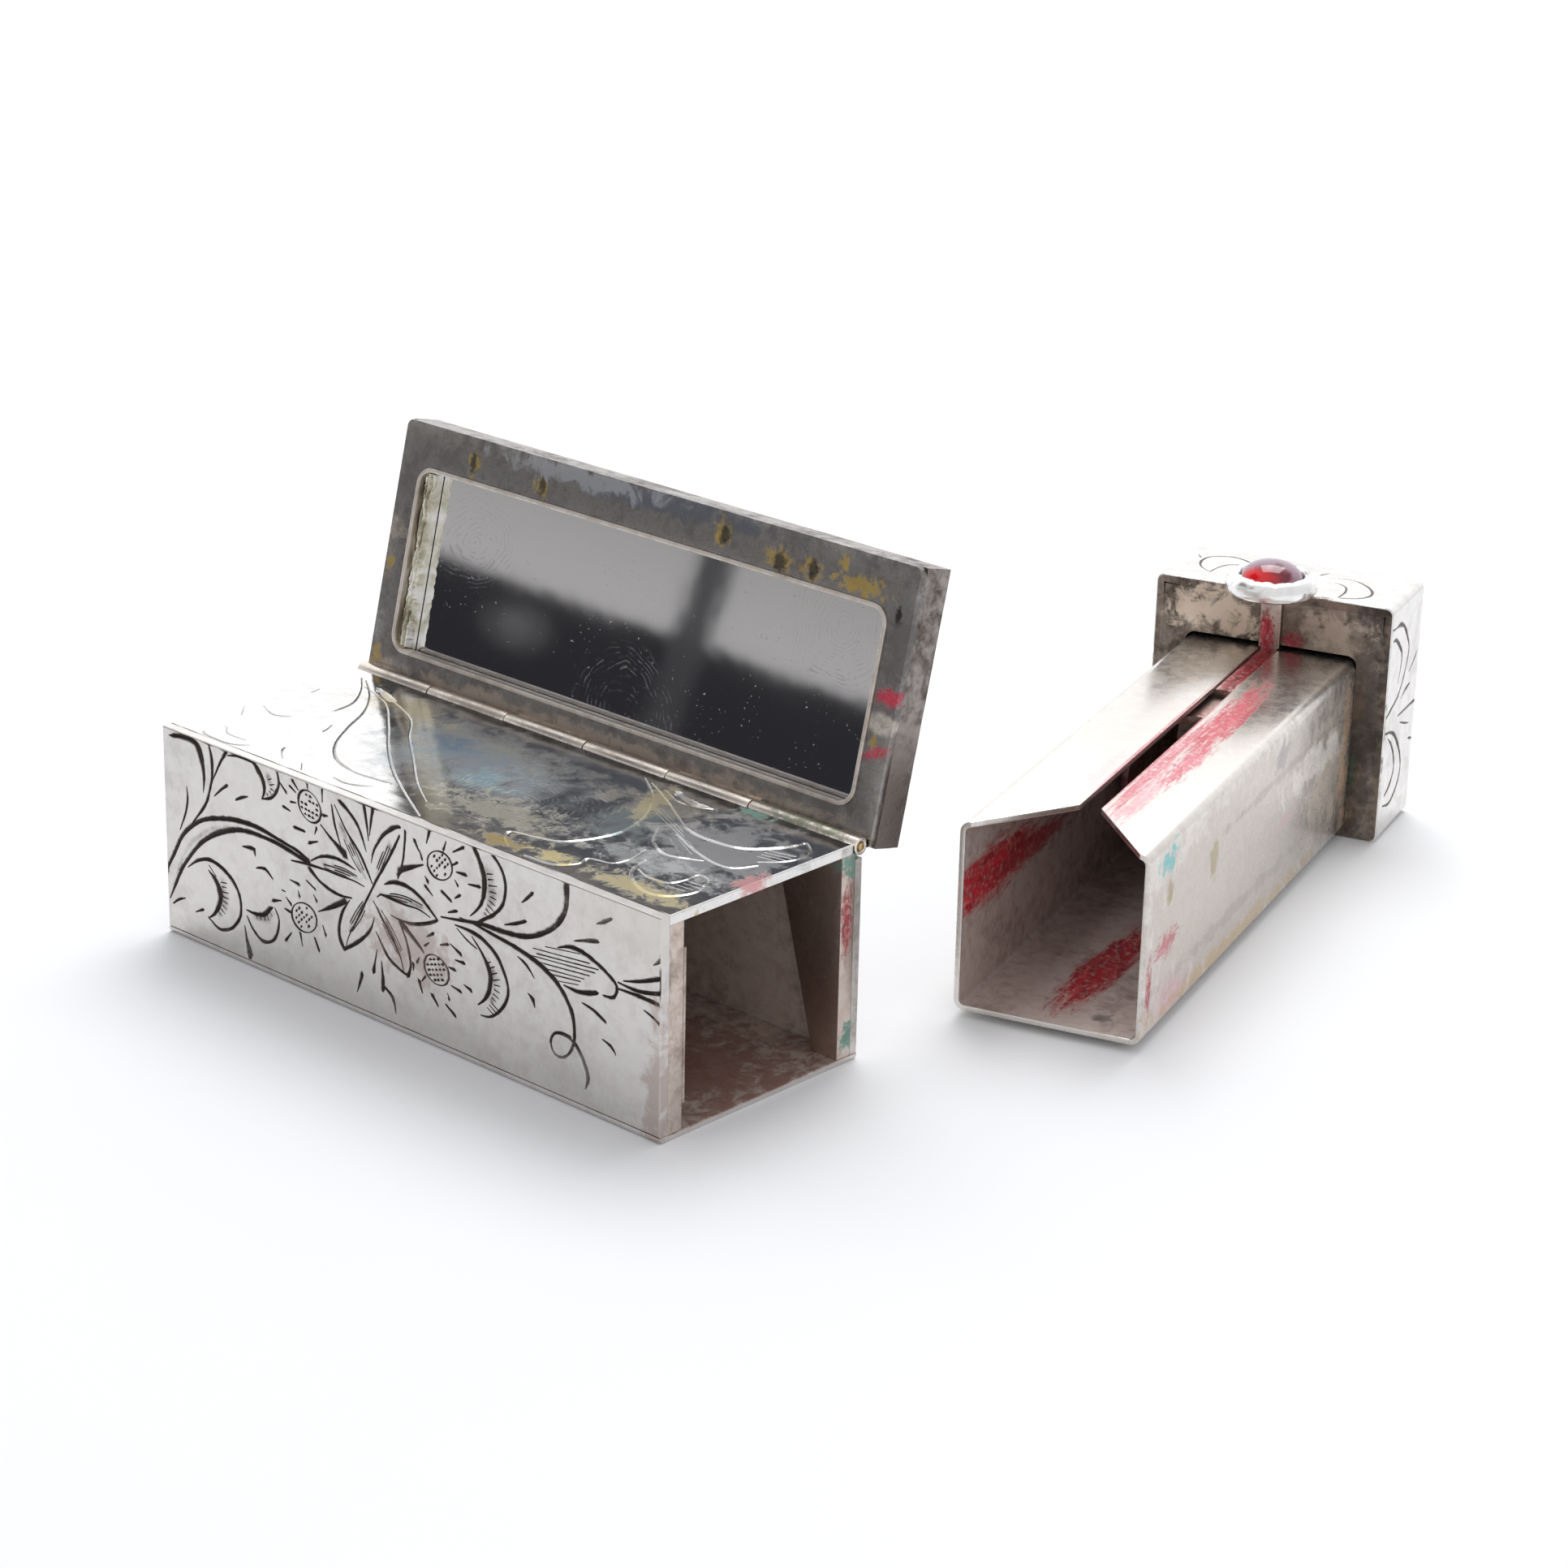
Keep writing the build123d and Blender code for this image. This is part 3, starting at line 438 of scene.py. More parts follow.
def silver(
    name,
    tone=(0.70, 0.675, 0.65),
    warm=(0.58, 0.51, 0.44),
    dark=(0.10, 0.078, 0.065),
    patina=0.4,
    rough=0.3,
    vary=0.15,
    bump=0.25,
    grain=(1, 1, 1),
    turn=(0, 0, 0),
    groove=0.0,
    marks=(),
    speck=0.3,
    cloud_at=(0.45, 0.66),
    shift=(0, 0, 0),
    wave=0.0,
    metal=1.0,
):
    """Hand-worked silver: cloudy tarnish, specks, fine scratches and dark grime."""
    mat, t = new_tree(name)
    vec = coords(t, shift=shift)
    cloud = noise(t, vec, 0.16, 4, 0.55, 0.6)
    mottle = noise(t, vec, 0.9, 8, 0.68, 0.3)
    fine = noise(t, vec, 7.0, 5, 0.7)
    brushed = noise(t, coords(t, grain, turn), 1.0, 6, 0.7)
    blend = plus(t, times(t, cloud, 0.55), times(t, mottle, 0.45))
    grime = level(t, blend, *cloud_at)
    base = mix(t, times(t, level(t, mottle, 0.35, 0.7), 0.5), tone, warm)
    base = mix(t, times(t, grime, patina), base, dark)
    base = mix(t, times(t, level(t, fine, 0.62, 0.72), speck), base, dark)
    base = mix(t, times(t, level(t, brushed, 0.60, 0.72), speck * 0.5), base, dark)
    uneven = times(t, centred(t, mottle), vary * 2)
    roughness = plus(t, plus(t, uneven, rough), times(t, grime, patina * 0.35))
    if groove:
        depth = node(t, "ShaderNodeAttribute", out="Fac", attribute_name="patina")
        uneven = times(t, centred(t, mottle), level(t, depth, 0.0, 0.25))
        cut = times(t, level(t, calc(t, "MULTIPLY_ADD", uneven, 0.7, depth), 0.02, 0.42), groove)
        base = mix(t, cut, base, (0.045, 0.033, 0.028))
        roughness = plus(t, roughness, times(t, cut, 0.3))
    metallic = metal
    for mark in marks:
        base, roughness, metallic = mark(t, vec, base, roughness, metallic)
    dents = node(t, "ShaderNodeBump", {"Strength": min(bump, 1), "Distance": 0.00003, "Height": mottle})
    if wave:
        slow = noise(t, vec, 0.22, 2, 0.5)
        dents = node(
            t, "ShaderNodeBump", {"Strength": wave, "Distance": 0.0006, "Height": slow, "Normal": dents},
        )
    height = plus(t, times(t, brushed, 0.6), times(t, fine, 0.4))
    normal = node(
        t, "ShaderNodeBump", {"Strength": bump, "Distance": 0.00002, "Height": height, "Normal": dents},
    )
    roughness = calc(t, "MINIMUM", calc(t, "MAXIMUM", roughness, 0.05), 0.9)
    output(t, Base_Color=base, Metallic=metallic, Roughness=roughness, Normal=normal)
    return mat


def smear(
    centre,
    size,
    turn=(0, 0, 0),
    amount=0.9,
    seed=0.0,
    ragged=4.0,
    low=(0.16, 0.002, 0.012),
    high=(0.50, 0.02, 0.05),
):
    """A smear of red wax inside a turned ellipsoid, between a low and a high tone."""
    def mark(t, vec, base, roughness, metallic):
        local, reach = spot(t, centre, size, turn)
        moved = node(t, "ShaderNodeVectorMath", {0: local, 1: (seed, 2.0, 7.0)}, operation="ADD")
        streak = noise(t, moved, 3.4, 9, 0.78, 0.8)
        edge = plus(t, reach, times(t, centred(t, streak), ragged))
        thin = level(t, noise(t, vec, 2.2, 6, 0.75, 0.5), 0.30, 0.52)
        mask = times(t, times(t, level(t, edge, 1.05, 0.55), thin), amount)
        base = mix(t, mask, base, mix(t, level(t, streak, 0.35, 0.65), low, high))
        keep = calc(t, "SUBTRACT", 1.0, mask)
        metallic = times(t, calc(t, "SUBTRACT", 1.0, times(t, mask, 0.85)), metallic)
        roughness = plus(t, times(t, roughness, keep), times(t, mask, 0.38))
        return base, roughness, metallic
    return mark


def film(
    centre, size, colour, turn=(0, 0, 0), amount=0.6, ragged=1.8, scale=0.5, soft=0.6, shine=0.0,
    body=0.0,
):
    """A coloured film fading out over a turned ellipsoid: mostly tarnish, in a few places painted shade,
    highlight or reflection.
    """
    def mark(t, vec, base, roughness, metallic):
        reach = spot(t, centre, size, turn)[1]
        broken = noise(t, vec, scale, 7, 0.7, 0.5)
        edge = plus(t, reach, times(t, centred(t, broken), ragged * 2))
        mask = times(t, level(t, edge, 1.0, 1.0 - soft), amount)
        base = mix(t, mask, base, colour)
        roughness = plus(t, roughness, times(t, mask, shine))
        if body:
            metallic = times(t, calc(t, "MULTIPLY_ADD", mask, -body, 1.0), metallic)
        return base, roughness, metallic
    return mark


def unit_film(x, y, z, size, colour, **look):
    """A film on the tube half, turned with it."""
    return film(unit_point(x, y, z), size, colour, UNIT_TURN, **look)


def unit_smear(x, y, z, size, *look, turn=UNIT_TURN):
    """A smear on the tube half: amount, seed, ragged, low and high tone follow its size."""
    return smear(unit_point(x, y, z), size, turn, *look)


def lid_film(x, u, size, colour, **look):
    """A film on the lid's inner face, turned with it."""
    return film(lid_point(x, u, 0.6), size, colour, LID_TURN, **look)


def top_film(x, y, size, colour, **look):
    """A film on the sheath's top face."""
    return film((x, y, TOP_Z), size, colour, **look)


def ridges(centre, size, colour, step=0.5, amount=0.4):
    """Curved parallel lines of a finger mark."""
    def mark(t, vec, base, roughness, metallic):
        reach = spot(t, centre, size)[1]
        wavy = noise(t, vec, 0.16, 3, 0.5)
        radius = plus(t, times(t, reach, size[0] / step), times(t, wavy, 11.0))
        lines = level(t, calc(t, "SINE", times(t, radius, 6.283)), 0.1, 0.9)
        broken = level(t, noise(t, vec, 0.8, 5, 0.7), 0.42, 0.6)
        mask = times(t, times(t, lines, broken), level(t, reach, 1.0, 0.75))
        mask = times(t, mask, amount)
        return mix(t, mask, base, colour), plus(t, roughness, times(t, mask, 0.2)), metallic
    return mark


def mirror_glass():
    mat, t = new_tree("mirror_silvering")
    vec = coords(t)
    base = (0.86, 0.86, 0.87)
    fine = noise(t, vec, 3.2, 4, 0.6)
    patch = noise(t, vec, 0.22, 3, 0.5)
    dots = times(t, level(t, fine, 0.66, 0.70), level(t, patch, 0.42, 0.6))
    base = mix(t, times(t, dots, 0.7), base, (0.30, 0.29, 0.27))
    roughness = plus(t, 0.035, times(t, dots, 0.35))
    metallic = 1.0
    # The silvering is worn away towards the right end, beyond these x values (m).
    across = node(t, "ShaderNodeSeparateXYZ", {0: place(t)})
    creep = plus(t, across, times(t, centred(t, noise(t, vec, 0.5, 6, 0.65)), 0.004))
    lost = level(t, creep, 0.0243, 0.0249)
    base = mix(t, times(t, lost, 0.75), base, (0.36, 0.35, 0.34))
    roughness = plus(t, roughness, times(t, lost, 0.4))
    grey, pale = (0.5, 0.48, 0.46), (0.97, 0.97, 0.97)
    for mark in (
        ridges(lid_point(-19, 12.5, 2), (5.5, 4, 4.5), grey, step=0.45, amount=0.14),
        ridges(lid_point(20, 15, 2), (6, 4, 5.5), grey, step=0.5, amount=0.16),
        ridges(lid_point(0, 2, 2), (7, 5, 7.5), pale, step=0.45, amount=0.35),
    ):
        base, roughness, metallic = mark(t, vec, base, roughness, metallic)
    normal = node(
        t, "ShaderNodeBump", {"Strength": 0.02, "Distance": 0.0001, "Height": noise(t, vec, 0.3, 1)},
    )
    output(t, Base_Color=base, Metallic=metallic, Roughness=roughness, Normal=normal)
    return mat


def foil():
    mat, t = new_tree("crumpled_foil")
    vec = coords(t, (1, 0.5, 0.5))
    tint = noise(t, vec, 0.8, 5, 0.6, 0.8)
    base = ramp(
        t, tint, ((0.36, (0.34, 0.31, 0.22)), (0.48, (0.70, 0.67, 0.55)), (0.6, (0.90, 0.885, 0.84))),
    )
    output(t, Base_Color=base, Metallic=0.8, Roughness=0.34)
    return mat


def red_stone():
    mat, t = new_tree("red_cabochon")
    vec = coords(t)
    cloud = noise(t, vec, 0.5, 4, 0.5, 1.2)
    # Painted light: a bright red glow low at the front stands for light shining through the stone, and a
    # lilac tone over the back of the dome is a painted reflection.
    glow = level(t, spot(t, unit_point(46.9, 0.9, 22.9), (1.2, 2.2, 0.85), UNIT_TURN)[1], 1.3, 0.4)
    painted_reflection = plus(t, spot(t, unit_point(46.2, -0.6, 22.4), (3.6, 3.4, 3.0), UNIT_TURN)[1], cloud)
    base = mix(t, level(t, cloud, 0.35, 0.65), (0.10, 0.006, 0.014), (0.26, 0.02, 0.04))
    base = mix(t, times(t, level(t, painted_reflection, 1.08, 1.34), 0.85), base, (0.30, 0.215, 0.265))
    base = mix(t, glow, base, (0.72, 0.008, 0.014))
    output(t, Base_Color=base, Roughness=0.1, IOR=1.6)
    return mat


# ---------------------------------------------------------------- engraving

def parse(text):
    values = [float(v) for v in text.split()]
    return [tuple(values[i:i + 3]) for i in range(0, len(values), 3)]


def spline(points, step):
    """Smooth line through (a, b, half width) points, sampled about every step mm."""
    out = []
    count = len(points)
    for i in range(count - 1):
        quad = [np.array(points[max(0, min(count - 1, i + k))], float) for k in (-1, 0, 1, 2)]
        length = math.hypot(*(quad[2] - quad[1])[:2])
        pieces = max(1, round(length / step))
        for k in range(pieces):
            s = k / pieces
            value = 0.5 * (
                2 * quad[1]
                + (quad[2] - quad[0]) * s
                + (2 * quad[0] - 5 * quad[1] + 4 * quad[2] - quad[3]) * s * s
                + (3 * quad[1] - quad[0] - 3 * quad[2] + quad[3]) * s ** 3
            )
            out.append(value)
    out.append(np.array(points[-1], float))
    return np.array(out)


def headings(line):
    """Unit vectors along a sampled line and across it, to its left."""
    along = np.gradient(line[:, :2], axis=0)
    along /= np.maximum(np.hypot(along[:, 0], along[:, 1])[:, None], 1e-6)
    return along, np.stack((-along[:, 1], along[:, 0]), 1)


class Plate:
    """A flat field cut with V grooves: vertices, triangles, and how deep and dark each vertex is."""

    MARGIN = 0.05  # no groove comes nearer to the rim
    STEP = 0.35  # spacing of a groove's points
    NEAREST = 0.03  # points closer than this are dropped, and no groove is thinner
    DEEPEST = 0.2
    JITTER = 0.06  # how unevenly the graver cut

    def __init__(self, rect):
        self.a0, self.a1, self.b0, self.b1 = rect
        self.points, self.edges, self.cuts = [], [], []

    def add(self, a, b):
        self.points.append((a, b))
        return len(self.points) - 1

    def chain(self, ids):
        self.edges += [(i, j) for i, j in zip(ids, ids[1:])]

    def inside(self, a, b):
        m = self.MARGIN
        return min(max(a, self.a0 + m), self.a1 - m), min(max(b, self.b0 + m), self.b1 - m)

    def stroke(self, points, lean=0.25, steep=0.62, dark=1.0, widen=1.0):
        """A groove through (a, b, half width) points. lean shifts its bottom to one side."""
        line = spline(points, self.STEP)
        gaps = [np.hypot(*(line[i] - line[i - 1])[:2]) for i in range(1, len(line))]
        line = line[[0] + [i + 1 for i, gap in enumerate(gaps) if gap > self.NEAREST]]
        for row in line:
            row[0], row[1] = self.inside(row[0], row[1])
            uneven = random.uniform(-self.JITTER, self.JITTER) * 2
            row[2] = max(self.NEAREST, row[2] * widen * (1 + uneven))
        along, across = headings(line)
        wide = line[:, 2] * (1 + lean)
        thin = line[:, 2] * (1 - lean)
        lefts = line[:, :2] + across * wide[:, None]
        rights = line[:, :2] - across * thin[:, None]
        start = line[0, :2] - along[0] * wide[0] * 1.05
        end = line[-1, :2] + along[-1] * wide[-1] * 1.05
        ids = [[self.add(*self.inside(*p)) for p in side] for side in (lefts, line[:, :2], rights)]
        first, last = self.add(*self.inside(*start)), self.add(*self.inside(*end))
        self.chain([first, *ids[0], last])
        self.chain([first, *ids[2], last])
        self.chain(ids[1])
        self.cuts.append((line, wide, thin, across, steep, dark))

    def border(self, a_stops, b_stops, across_lines=False):
        """The rim, with vertices at the given stops, and lines across for plates that wrap."""
        for b in (self.b0, self.b1):
            self.chain([self.add(a, b) for a in a_stops])
        for a in (self.a0, self.a1):
            self.chain([self.add(a, b) for b in b_stops])
        if across_lines:
            for b in b_stops[1:-1]:
                self.chain([self.add(self.a0, b), self.add(self.a1, b)])

    def build(self):
        verts, _, faces, *_ = delaunay_2d_cdt(
            [Vector(p) for p in self.points], self.edges, [], 0, 1e-5, False
        )
        flat = np.array([tuple(v) for v in verts])
        depth = np.zeros(len(flat))
        dark = np.zeros(len(flat))
        for line, wide, thin, across, steep, tone in self.cuts:
            reach = max(wide.max(), thin.max())
            low, high = line[:, :2].min(0) - reach, line[:, :2].max(0) + reach
            near = np.where(((flat > low) & (flat < high)).all(1))[0]
            if not len(near):
                continue
            spots = flat[near]
            best = np.full(len(near), 1e9)
            cut = np.zeros(len(near))
            shade = np.zeros(len(near))
            for i in range(len(line) - 1):
                p, q = line[i, :2], line[i + 1, :2]
                run = q - p
                s = np.clip(((spots - p) @ run) / max(run @ run, 1e-9), 0, 1)
                gap = spots - (p + s[:, None] * run)
                away = np.hypot(gap[:, 0], gap[:, 1])
                side = gap @ across[i]
                left = wide[i] + (wide[i + 1] - wide[i]) * s
                right = thin[i] + (thin[i + 1] - thin[i]) * s
                half = np.where(side > 0, left, right)
                width = line[i, 2] + (line[i + 1, 2] - line[i, 2]) * s
                ratio = np.clip(1 - away / half, 0, 1)
                closer = away < best
                best = np.where(closer, away, best)
                cut = np.where(closer, np.minimum(width * steep, self.DEEPEST) * ratio, cut)
                shade = np.where(closer, ratio, shade)
            depth[near] = np.maximum(depth[near], cut)
            dark[near] = np.maximum(dark[near], shade * tone)
        return flat, faces, depth, dark


def stops(low, high, spacing):
    count = max(1, round((high - low) / spacing))
    return [low + (high - low) * i / count for i in range(count + 1)]


def added(name, data):
    obj = bpy.data.objects.new(name, data)
    bpy.context.scene.collection.objects.link(obj)
    return obj


@contextmanager
def edited(data):
    """A mesh opened for editing and written back afterwards."""
    mesh = bmesh.new()
    mesh.from_mesh(data)
    yield mesh
    mesh.to_mesh(data)
    mesh.free()


def weld(obj, dist):
    """Merges points closer than dist, in metres, and turns every face outward."""
    with edited(obj.data) as mesh:
        bmesh.ops.remove_doubles(mesh, verts=mesh.verts, dist=dist)
        bmesh.ops.recalc_face_normals(mesh, faces=mesh.faces)


def finish_mesh(name, verts, faces, mats, slots=None, dark=None, smooth=False):
    """An object with its materials, each face's material slot and each vertex's patina."""
    mesh = bpy.data.meshes.new(name)
    mesh.from_pydata([tuple(v) for v in verts], [], faces)
    for mat in mats:
        mesh.materials.append(mat)
    for face, index in zip(mesh.polygons, slots or [0] * len(faces)):
        face.material_index = index
        face.use_smooth = smooth
    tone = mesh.attributes.new("patina", "FLOAT", "POINT")
    tone.data.foreach_set("value", np.array(dark or [0] * len(verts), dtype=np.float32))
    return added(name, mesh)


def rim_profile(bevel, thick):
    """Steps of a plate's edge, as (outward, depth): rounded over the bevel, then straight down."""
    return [(bevel * out, bevel * deep) for out, deep in ROUNDING] + [(bevel, thick)]


def plate_mesh(
    name, rect, strokes, to_space, thick, mats, bevel=0.12, ragged=0.035, shades=(), edge=0, **cut
):
    """A metal plate whose outer face is engraved. to_space maps (along, across, depth) in mm."""
    a0, a1, b0, b1 = rect
    inner = (a0 + bevel, a1 - bevel, b0 + bevel, b1 - bevel)
    plate = Plate(inner)
    plate.border(stops(inner[0], inner[1], 1.1), stops(inner[2], inner[3], 1.1))
    for text in strokes:
        points = parse(text) if isinstance(text, str) else text
        plate.stroke(points, **cut)
    shaded = [spline(parse(text), 0.3) for text in shades]
    for line in shaded:
        for row, side in zip(line, headings(line)[1]):
            for share in (-0.9, -0.55, -0.2, 0.2, 0.55, 0.9):
                spread = share * row[2] * random.uniform(0.8, 1.1)
                plate.add(*plate.inside(*(row[:2] + side * spread)))
    flat, faces, depth, dark = plate.build()
    for line in shaded:
        gaps = np.hypot(flat[:, 0, None] - line[None, :, 0], flat[:, 1, None] - line[None, :, 1])
        nearest = gaps.argmin(1)
        share = 1 - gaps.min(1) / line[nearest, 2]
        dark = np.maximum(dark, np.clip(share, 0, 1) ** 0.7 * 0.2)
    verts = [to_space(a, b, d) * MM for (a, b), d in zip(flat, depth)]
    dark = list(dark)
    wide, tall = inner[1] - inner[0], inner[3] - inner[2]
    rim = []
    for i, (a, b) in enumerate(flat):
        # How far round the outline the point lies, from the lower left corner.
        for on_side, key in (
            (abs(b - inner[2]) < TINY, a - inner[0]),
            (abs(a - inner[1]) < TINY, wide + b - inner[2]),
            (abs(b - inner[3]) < TINY, wide + tall + inner[1] - a),
            (abs(a - inner[0]) < TINY, 2 * wide + tall + inner[3] - b),
        ):
            if on_side:
                rim.append((key, i, a, b))
                break
    rim.sort()

    def outward(value, low, high, grow):
        return value + (grow if abs(value - high) < TINY else -grow if abs(value - low) < TINY else 0)

    rings = [[i for _, i, _, _ in rim]]
    for out, deep in rim_profile(bevel, thick):
        ring = []
        for _, _, a, b in rim:
            rough = (0.5 + 0.5 * mnoise.noise(Vector((a * 1.3, b * 1.3, 3.1)))) * ragged
            ring.append(len(verts))
            spot_a = outward(a, inner[0], inner[1], out - rough)
            spot_b = outward(b, inner[2], inner[3], out - rough)
            verts.append(to_space(spot_a, spot_b, deep) * MM)
            dark.append(0.0)
        rings.append(ring)
    faces = [list(f) for f in faces]
    slots = [0] * len(faces)
    count = len(rim)
    for k in range(len(rings) - 1):
        for i in range(count):
            j = (i + 1) % count
            faces.append([rings[k][i], rings[k][j], rings[k + 1][j], rings[k + 1][i]])
            slots.append(edge if k == 2 else 0)
    faces.append(list(reversed(rings[-1])))
    slots.append(1 if len(mats) > 1 else 0)
    obj = finish_mesh(name, verts, faces, mats, slots, dark)
    tidy_normals(obj)
    return obj


def tidy_normals(obj):
    """Drops faces of no size and turns the rest outward."""
    with edited(obj.data) as mesh:
        bmesh.ops.dissolve_degenerate(mesh, dist=1e-7, edges=mesh.edges)
        bmesh.ops.recalc_face_normals(mesh, faces=mesh.faces)


def band_mesh(name, strokes_by_side, thick, mats, bevel=0.12):
    """The cap's band: one engraved strip wrapped round a rounded square, seam underneath."""
    half, radius, x0, x1 = CAP_HALF, CAP_ROUND, CAP_FROM, CAP_TO
    straight = 2 * (half - radius)
    arc = radius * math.pi / 2
    side = straight + arc
    total = 4 * side

    def to_space(a, s, d):
        s = (s + straight / 2) % total
        k = int(s // side)
        left = s - k * side
        inward = min(d, radius * 0.97) if left > straight else d
        if left <= straight:
            u, v = left - straight / 2, half - inward
        else:
            angle = (left - straight) / radius
            u = straight / 2 + (radius - inward) * math.sin(angle)
            v = half - radius + (radius - inward) * math.cos(angle)
        # side 0 is underneath, then the left, the top and the right, seen from the mouth
        y, z = ((u, -v), (v, u), (-u, v), (-v, -u))[k]
        return unit_point(a, y, half + z)

    plate = Plate((x0 + bevel, x1 - bevel, 0, total))
    b_stops = []
    for k in range(4):
        origin = k * side - straight / 2
        b_stops += [origin + straight * i / 12 for i in range(12)]
        b_stops += [origin + straight + arc * i / 6 for i in range(6)]
    b_stops = sorted({round(b % total, 5) for b in b_stops} | {0.0, round(total, 5)})
    plate.b1 = b_stops[-1]
    plate.border(stops(x0 + bevel, x1 - bevel, 1.2), b_stops, across_lines=True)
    for k, strokes in strokes_by_side.items():
        for points in strokes:
            plate.stroke([(a, b + k * side, w) for a, b, w in points], steep=0.6, dark=0.9, widen=1.5)
    flat, faces, depth, dark = plate.build()
    verts = [to_space(a, b, d) * MM for (a, b), d in zip(flat, depth)]
    dark = list(dark)
    faces = [list(f) for f in faces]
    slots = [0] * len(faces)
    edges = []
    for a_end, out_x in ((x0 + bevel, x0), (x1 - bevel, x1)):
        row = sorted((b, i) for i, (a, b) in enumerate(flat) if abs(a - a_end) < TINY)
        rings = [[i for _, i in row]]
        for out, deep in rim_profile(bevel, thick):
            ring = []
            for b, _ in row:
                rough = (0.5 + 0.5 * mnoise.noise(Vector((b * 1.3 % total, out_x, 9.0)))) * 0.03
                grow = (out - rough) * (1 if out_x == x1 else -1)
                ring.append(len(verts))
                verts.append(to_space(a_end + grow, b, deep) * MM)
                dark.append(0.0)
            rings.append(ring)
        for k in range(3):
            for i in range(len(row) - 1):
                faces.append([rings[k][i], rings[k][i + 1], rings[k + 1][i + 1], rings[k + 1][i]])
                slots.append(0 if k < 2 else 1)
        edges.append(rings[-1])
    for i in range(len(edges[0]) - 1):
        faces.append([edges[0][i], edges[0][i + 1], edges[1][i + 1], edges[1][i]])
        slots.append(1)
    obj = finish_mesh(name, verts, faces, mats, slots, dark)
    weld(obj, 2e-6)
    return obj


def oval(a, b, ra, rb, tilt, w):
    """A closed line round a tilted ellipse, swelling and thinning."""
    out = []
    count = 14
    for i in range(count + 1):
        angle = math.radians(360 * i / count)
        x, y = ra * math.cos(angle), rb * math.sin(angle)
        out.append((
            a + x * math.cos(tilt) - y * math.sin(tilt),
            b + x * math.sin(tilt) + y * math.cos(tilt),
            w * (0.8 + 0.35 * math.sin(angle * 2 + 1)),
        ))
    return out


def seed_head(a, b, ra, rb, tilt):
    """An oval ring filled with a lattice of small square cuts."""
    out = [oval(a, b, ra, rb, tilt, 0.085)]
    for i in range(-3, 4):
        for j in range(-3, 4):
            x, y = i * 0.42, j * 0.40
            if (x / (ra - 0.3)) ** 2 + (y / (rb - 0.27)) ** 2 > 1.0 or random.random() < 0.12:
                continue
            half = 0.07 * random.uniform(0.7, 1.2)
            c, s = math.cos(tilt + 0.5), math.sin(tilt + 0.5)
            out.append([
                (
                    a + p * c - y * s, b + p * s + y * c, random.uniform(0.07, 0.09)
                ) for p in (x - half, x + half)
            ])
    return out


def front_heads():
    """The four seed heads of the front's pattern."""
    return (
        seed_head(-9.87, 15.42, 1.38, 1.18, -0.6) + seed_head(-10.75, 6.1, 1.5, 1.2, 0.25)
        + seed_head(4.5, 14.8, 1.4, 1.12, 0.3) + seed_head(4.05, 6.35, 1.4, 1.15, -0.2)
    )


def hatching(texts, across=False):
    """Fine cuts along the middle of a petal, or across a leaf's edge."""
    out = []
    for text in texts:
        line = spline(parse(text), 0.4)
        side = headings(line)[1]
        if across:
            for p, s in zip(line[1:-1], side[1:-1]):
                reach = p[2] * random.uniform(0.55, 0.95)
                out.append([(*(p[:2] - s * reach * 0.3), 0.045), (*(p[:2] + s * reach), 0.03)])
        else:
            for share in (-0.75, -0.3, 0.25, 0.7):
                low = random.randint(0, len(line) // 3)
                high = len(line) - random.randint(0, len(line) // 3)
                pairs = zip(line[low:high:2], side[low:high:2])
                out.append([(*(p[:2] + s * share * p[2]), 0.04) for p, s in pairs])
    return [points for points in out if len(points) > 1]


# ---------------------------------------------------------------- other pieces

def worn_copy(name, mat, width=0.08, segments=2, inner=None, is_inner=None):
    """A copy of a CAD node with its edges worn round. Faces that is_inner picks take the inner material."""
    source = nodes[name]
    verts = [source.matrix_world @ v.co for v in source.data.vertices]
    data = bpy.data.meshes.new(name + "_worn")
    data.from_pydata(verts, [], [tuple(p.vertices) for p in source.data.polygons])
    data.materials.append(mat)
    if inner:
        data.materials.append(inner)
    mesh = bmesh.new()
    mesh.from_mesh(data)
    bmesh.ops.remove_doubles(mesh, verts=mesh.verts, dist=1e-6)
    bmesh.ops.dissolve_limit(mesh, angle_limit=math.radians(1), verts=mesh.verts, edges=mesh.edges)
    sharp = [e for e in mesh.edges if len(e.link_faces) == 2 and e.calc_face_angle(0) > math.radians(35)]
    bmesh.ops.bevel(
        mesh, geom=sharp, offset=width * MM, offset_type="OFFSET", segments=segments,
        profile=0.6, affect="EDGES", clamp_overlap=True,
    )
    bmesh.ops.triangulate(mesh, faces=mesh.faces)
    bmesh.ops.recalc_face_normals(mesh, faces=mesh.faces)
    if inner:
        for face in mesh.faces:
            if is_inner(face.calc_center_median() / MM):
                face.material_index = 1
    mesh.to_mesh(data)
    mesh.free()
    data.shade_smooth()
    data.set_sharp_from_angle(angle=math.radians(28))
    return added(data.name, data)


def wear(name, mat, body, slot, *look):
    """A worn copy that stands for its CAD node."""
    claim(worn_copy(name, mat, *look), name, body)


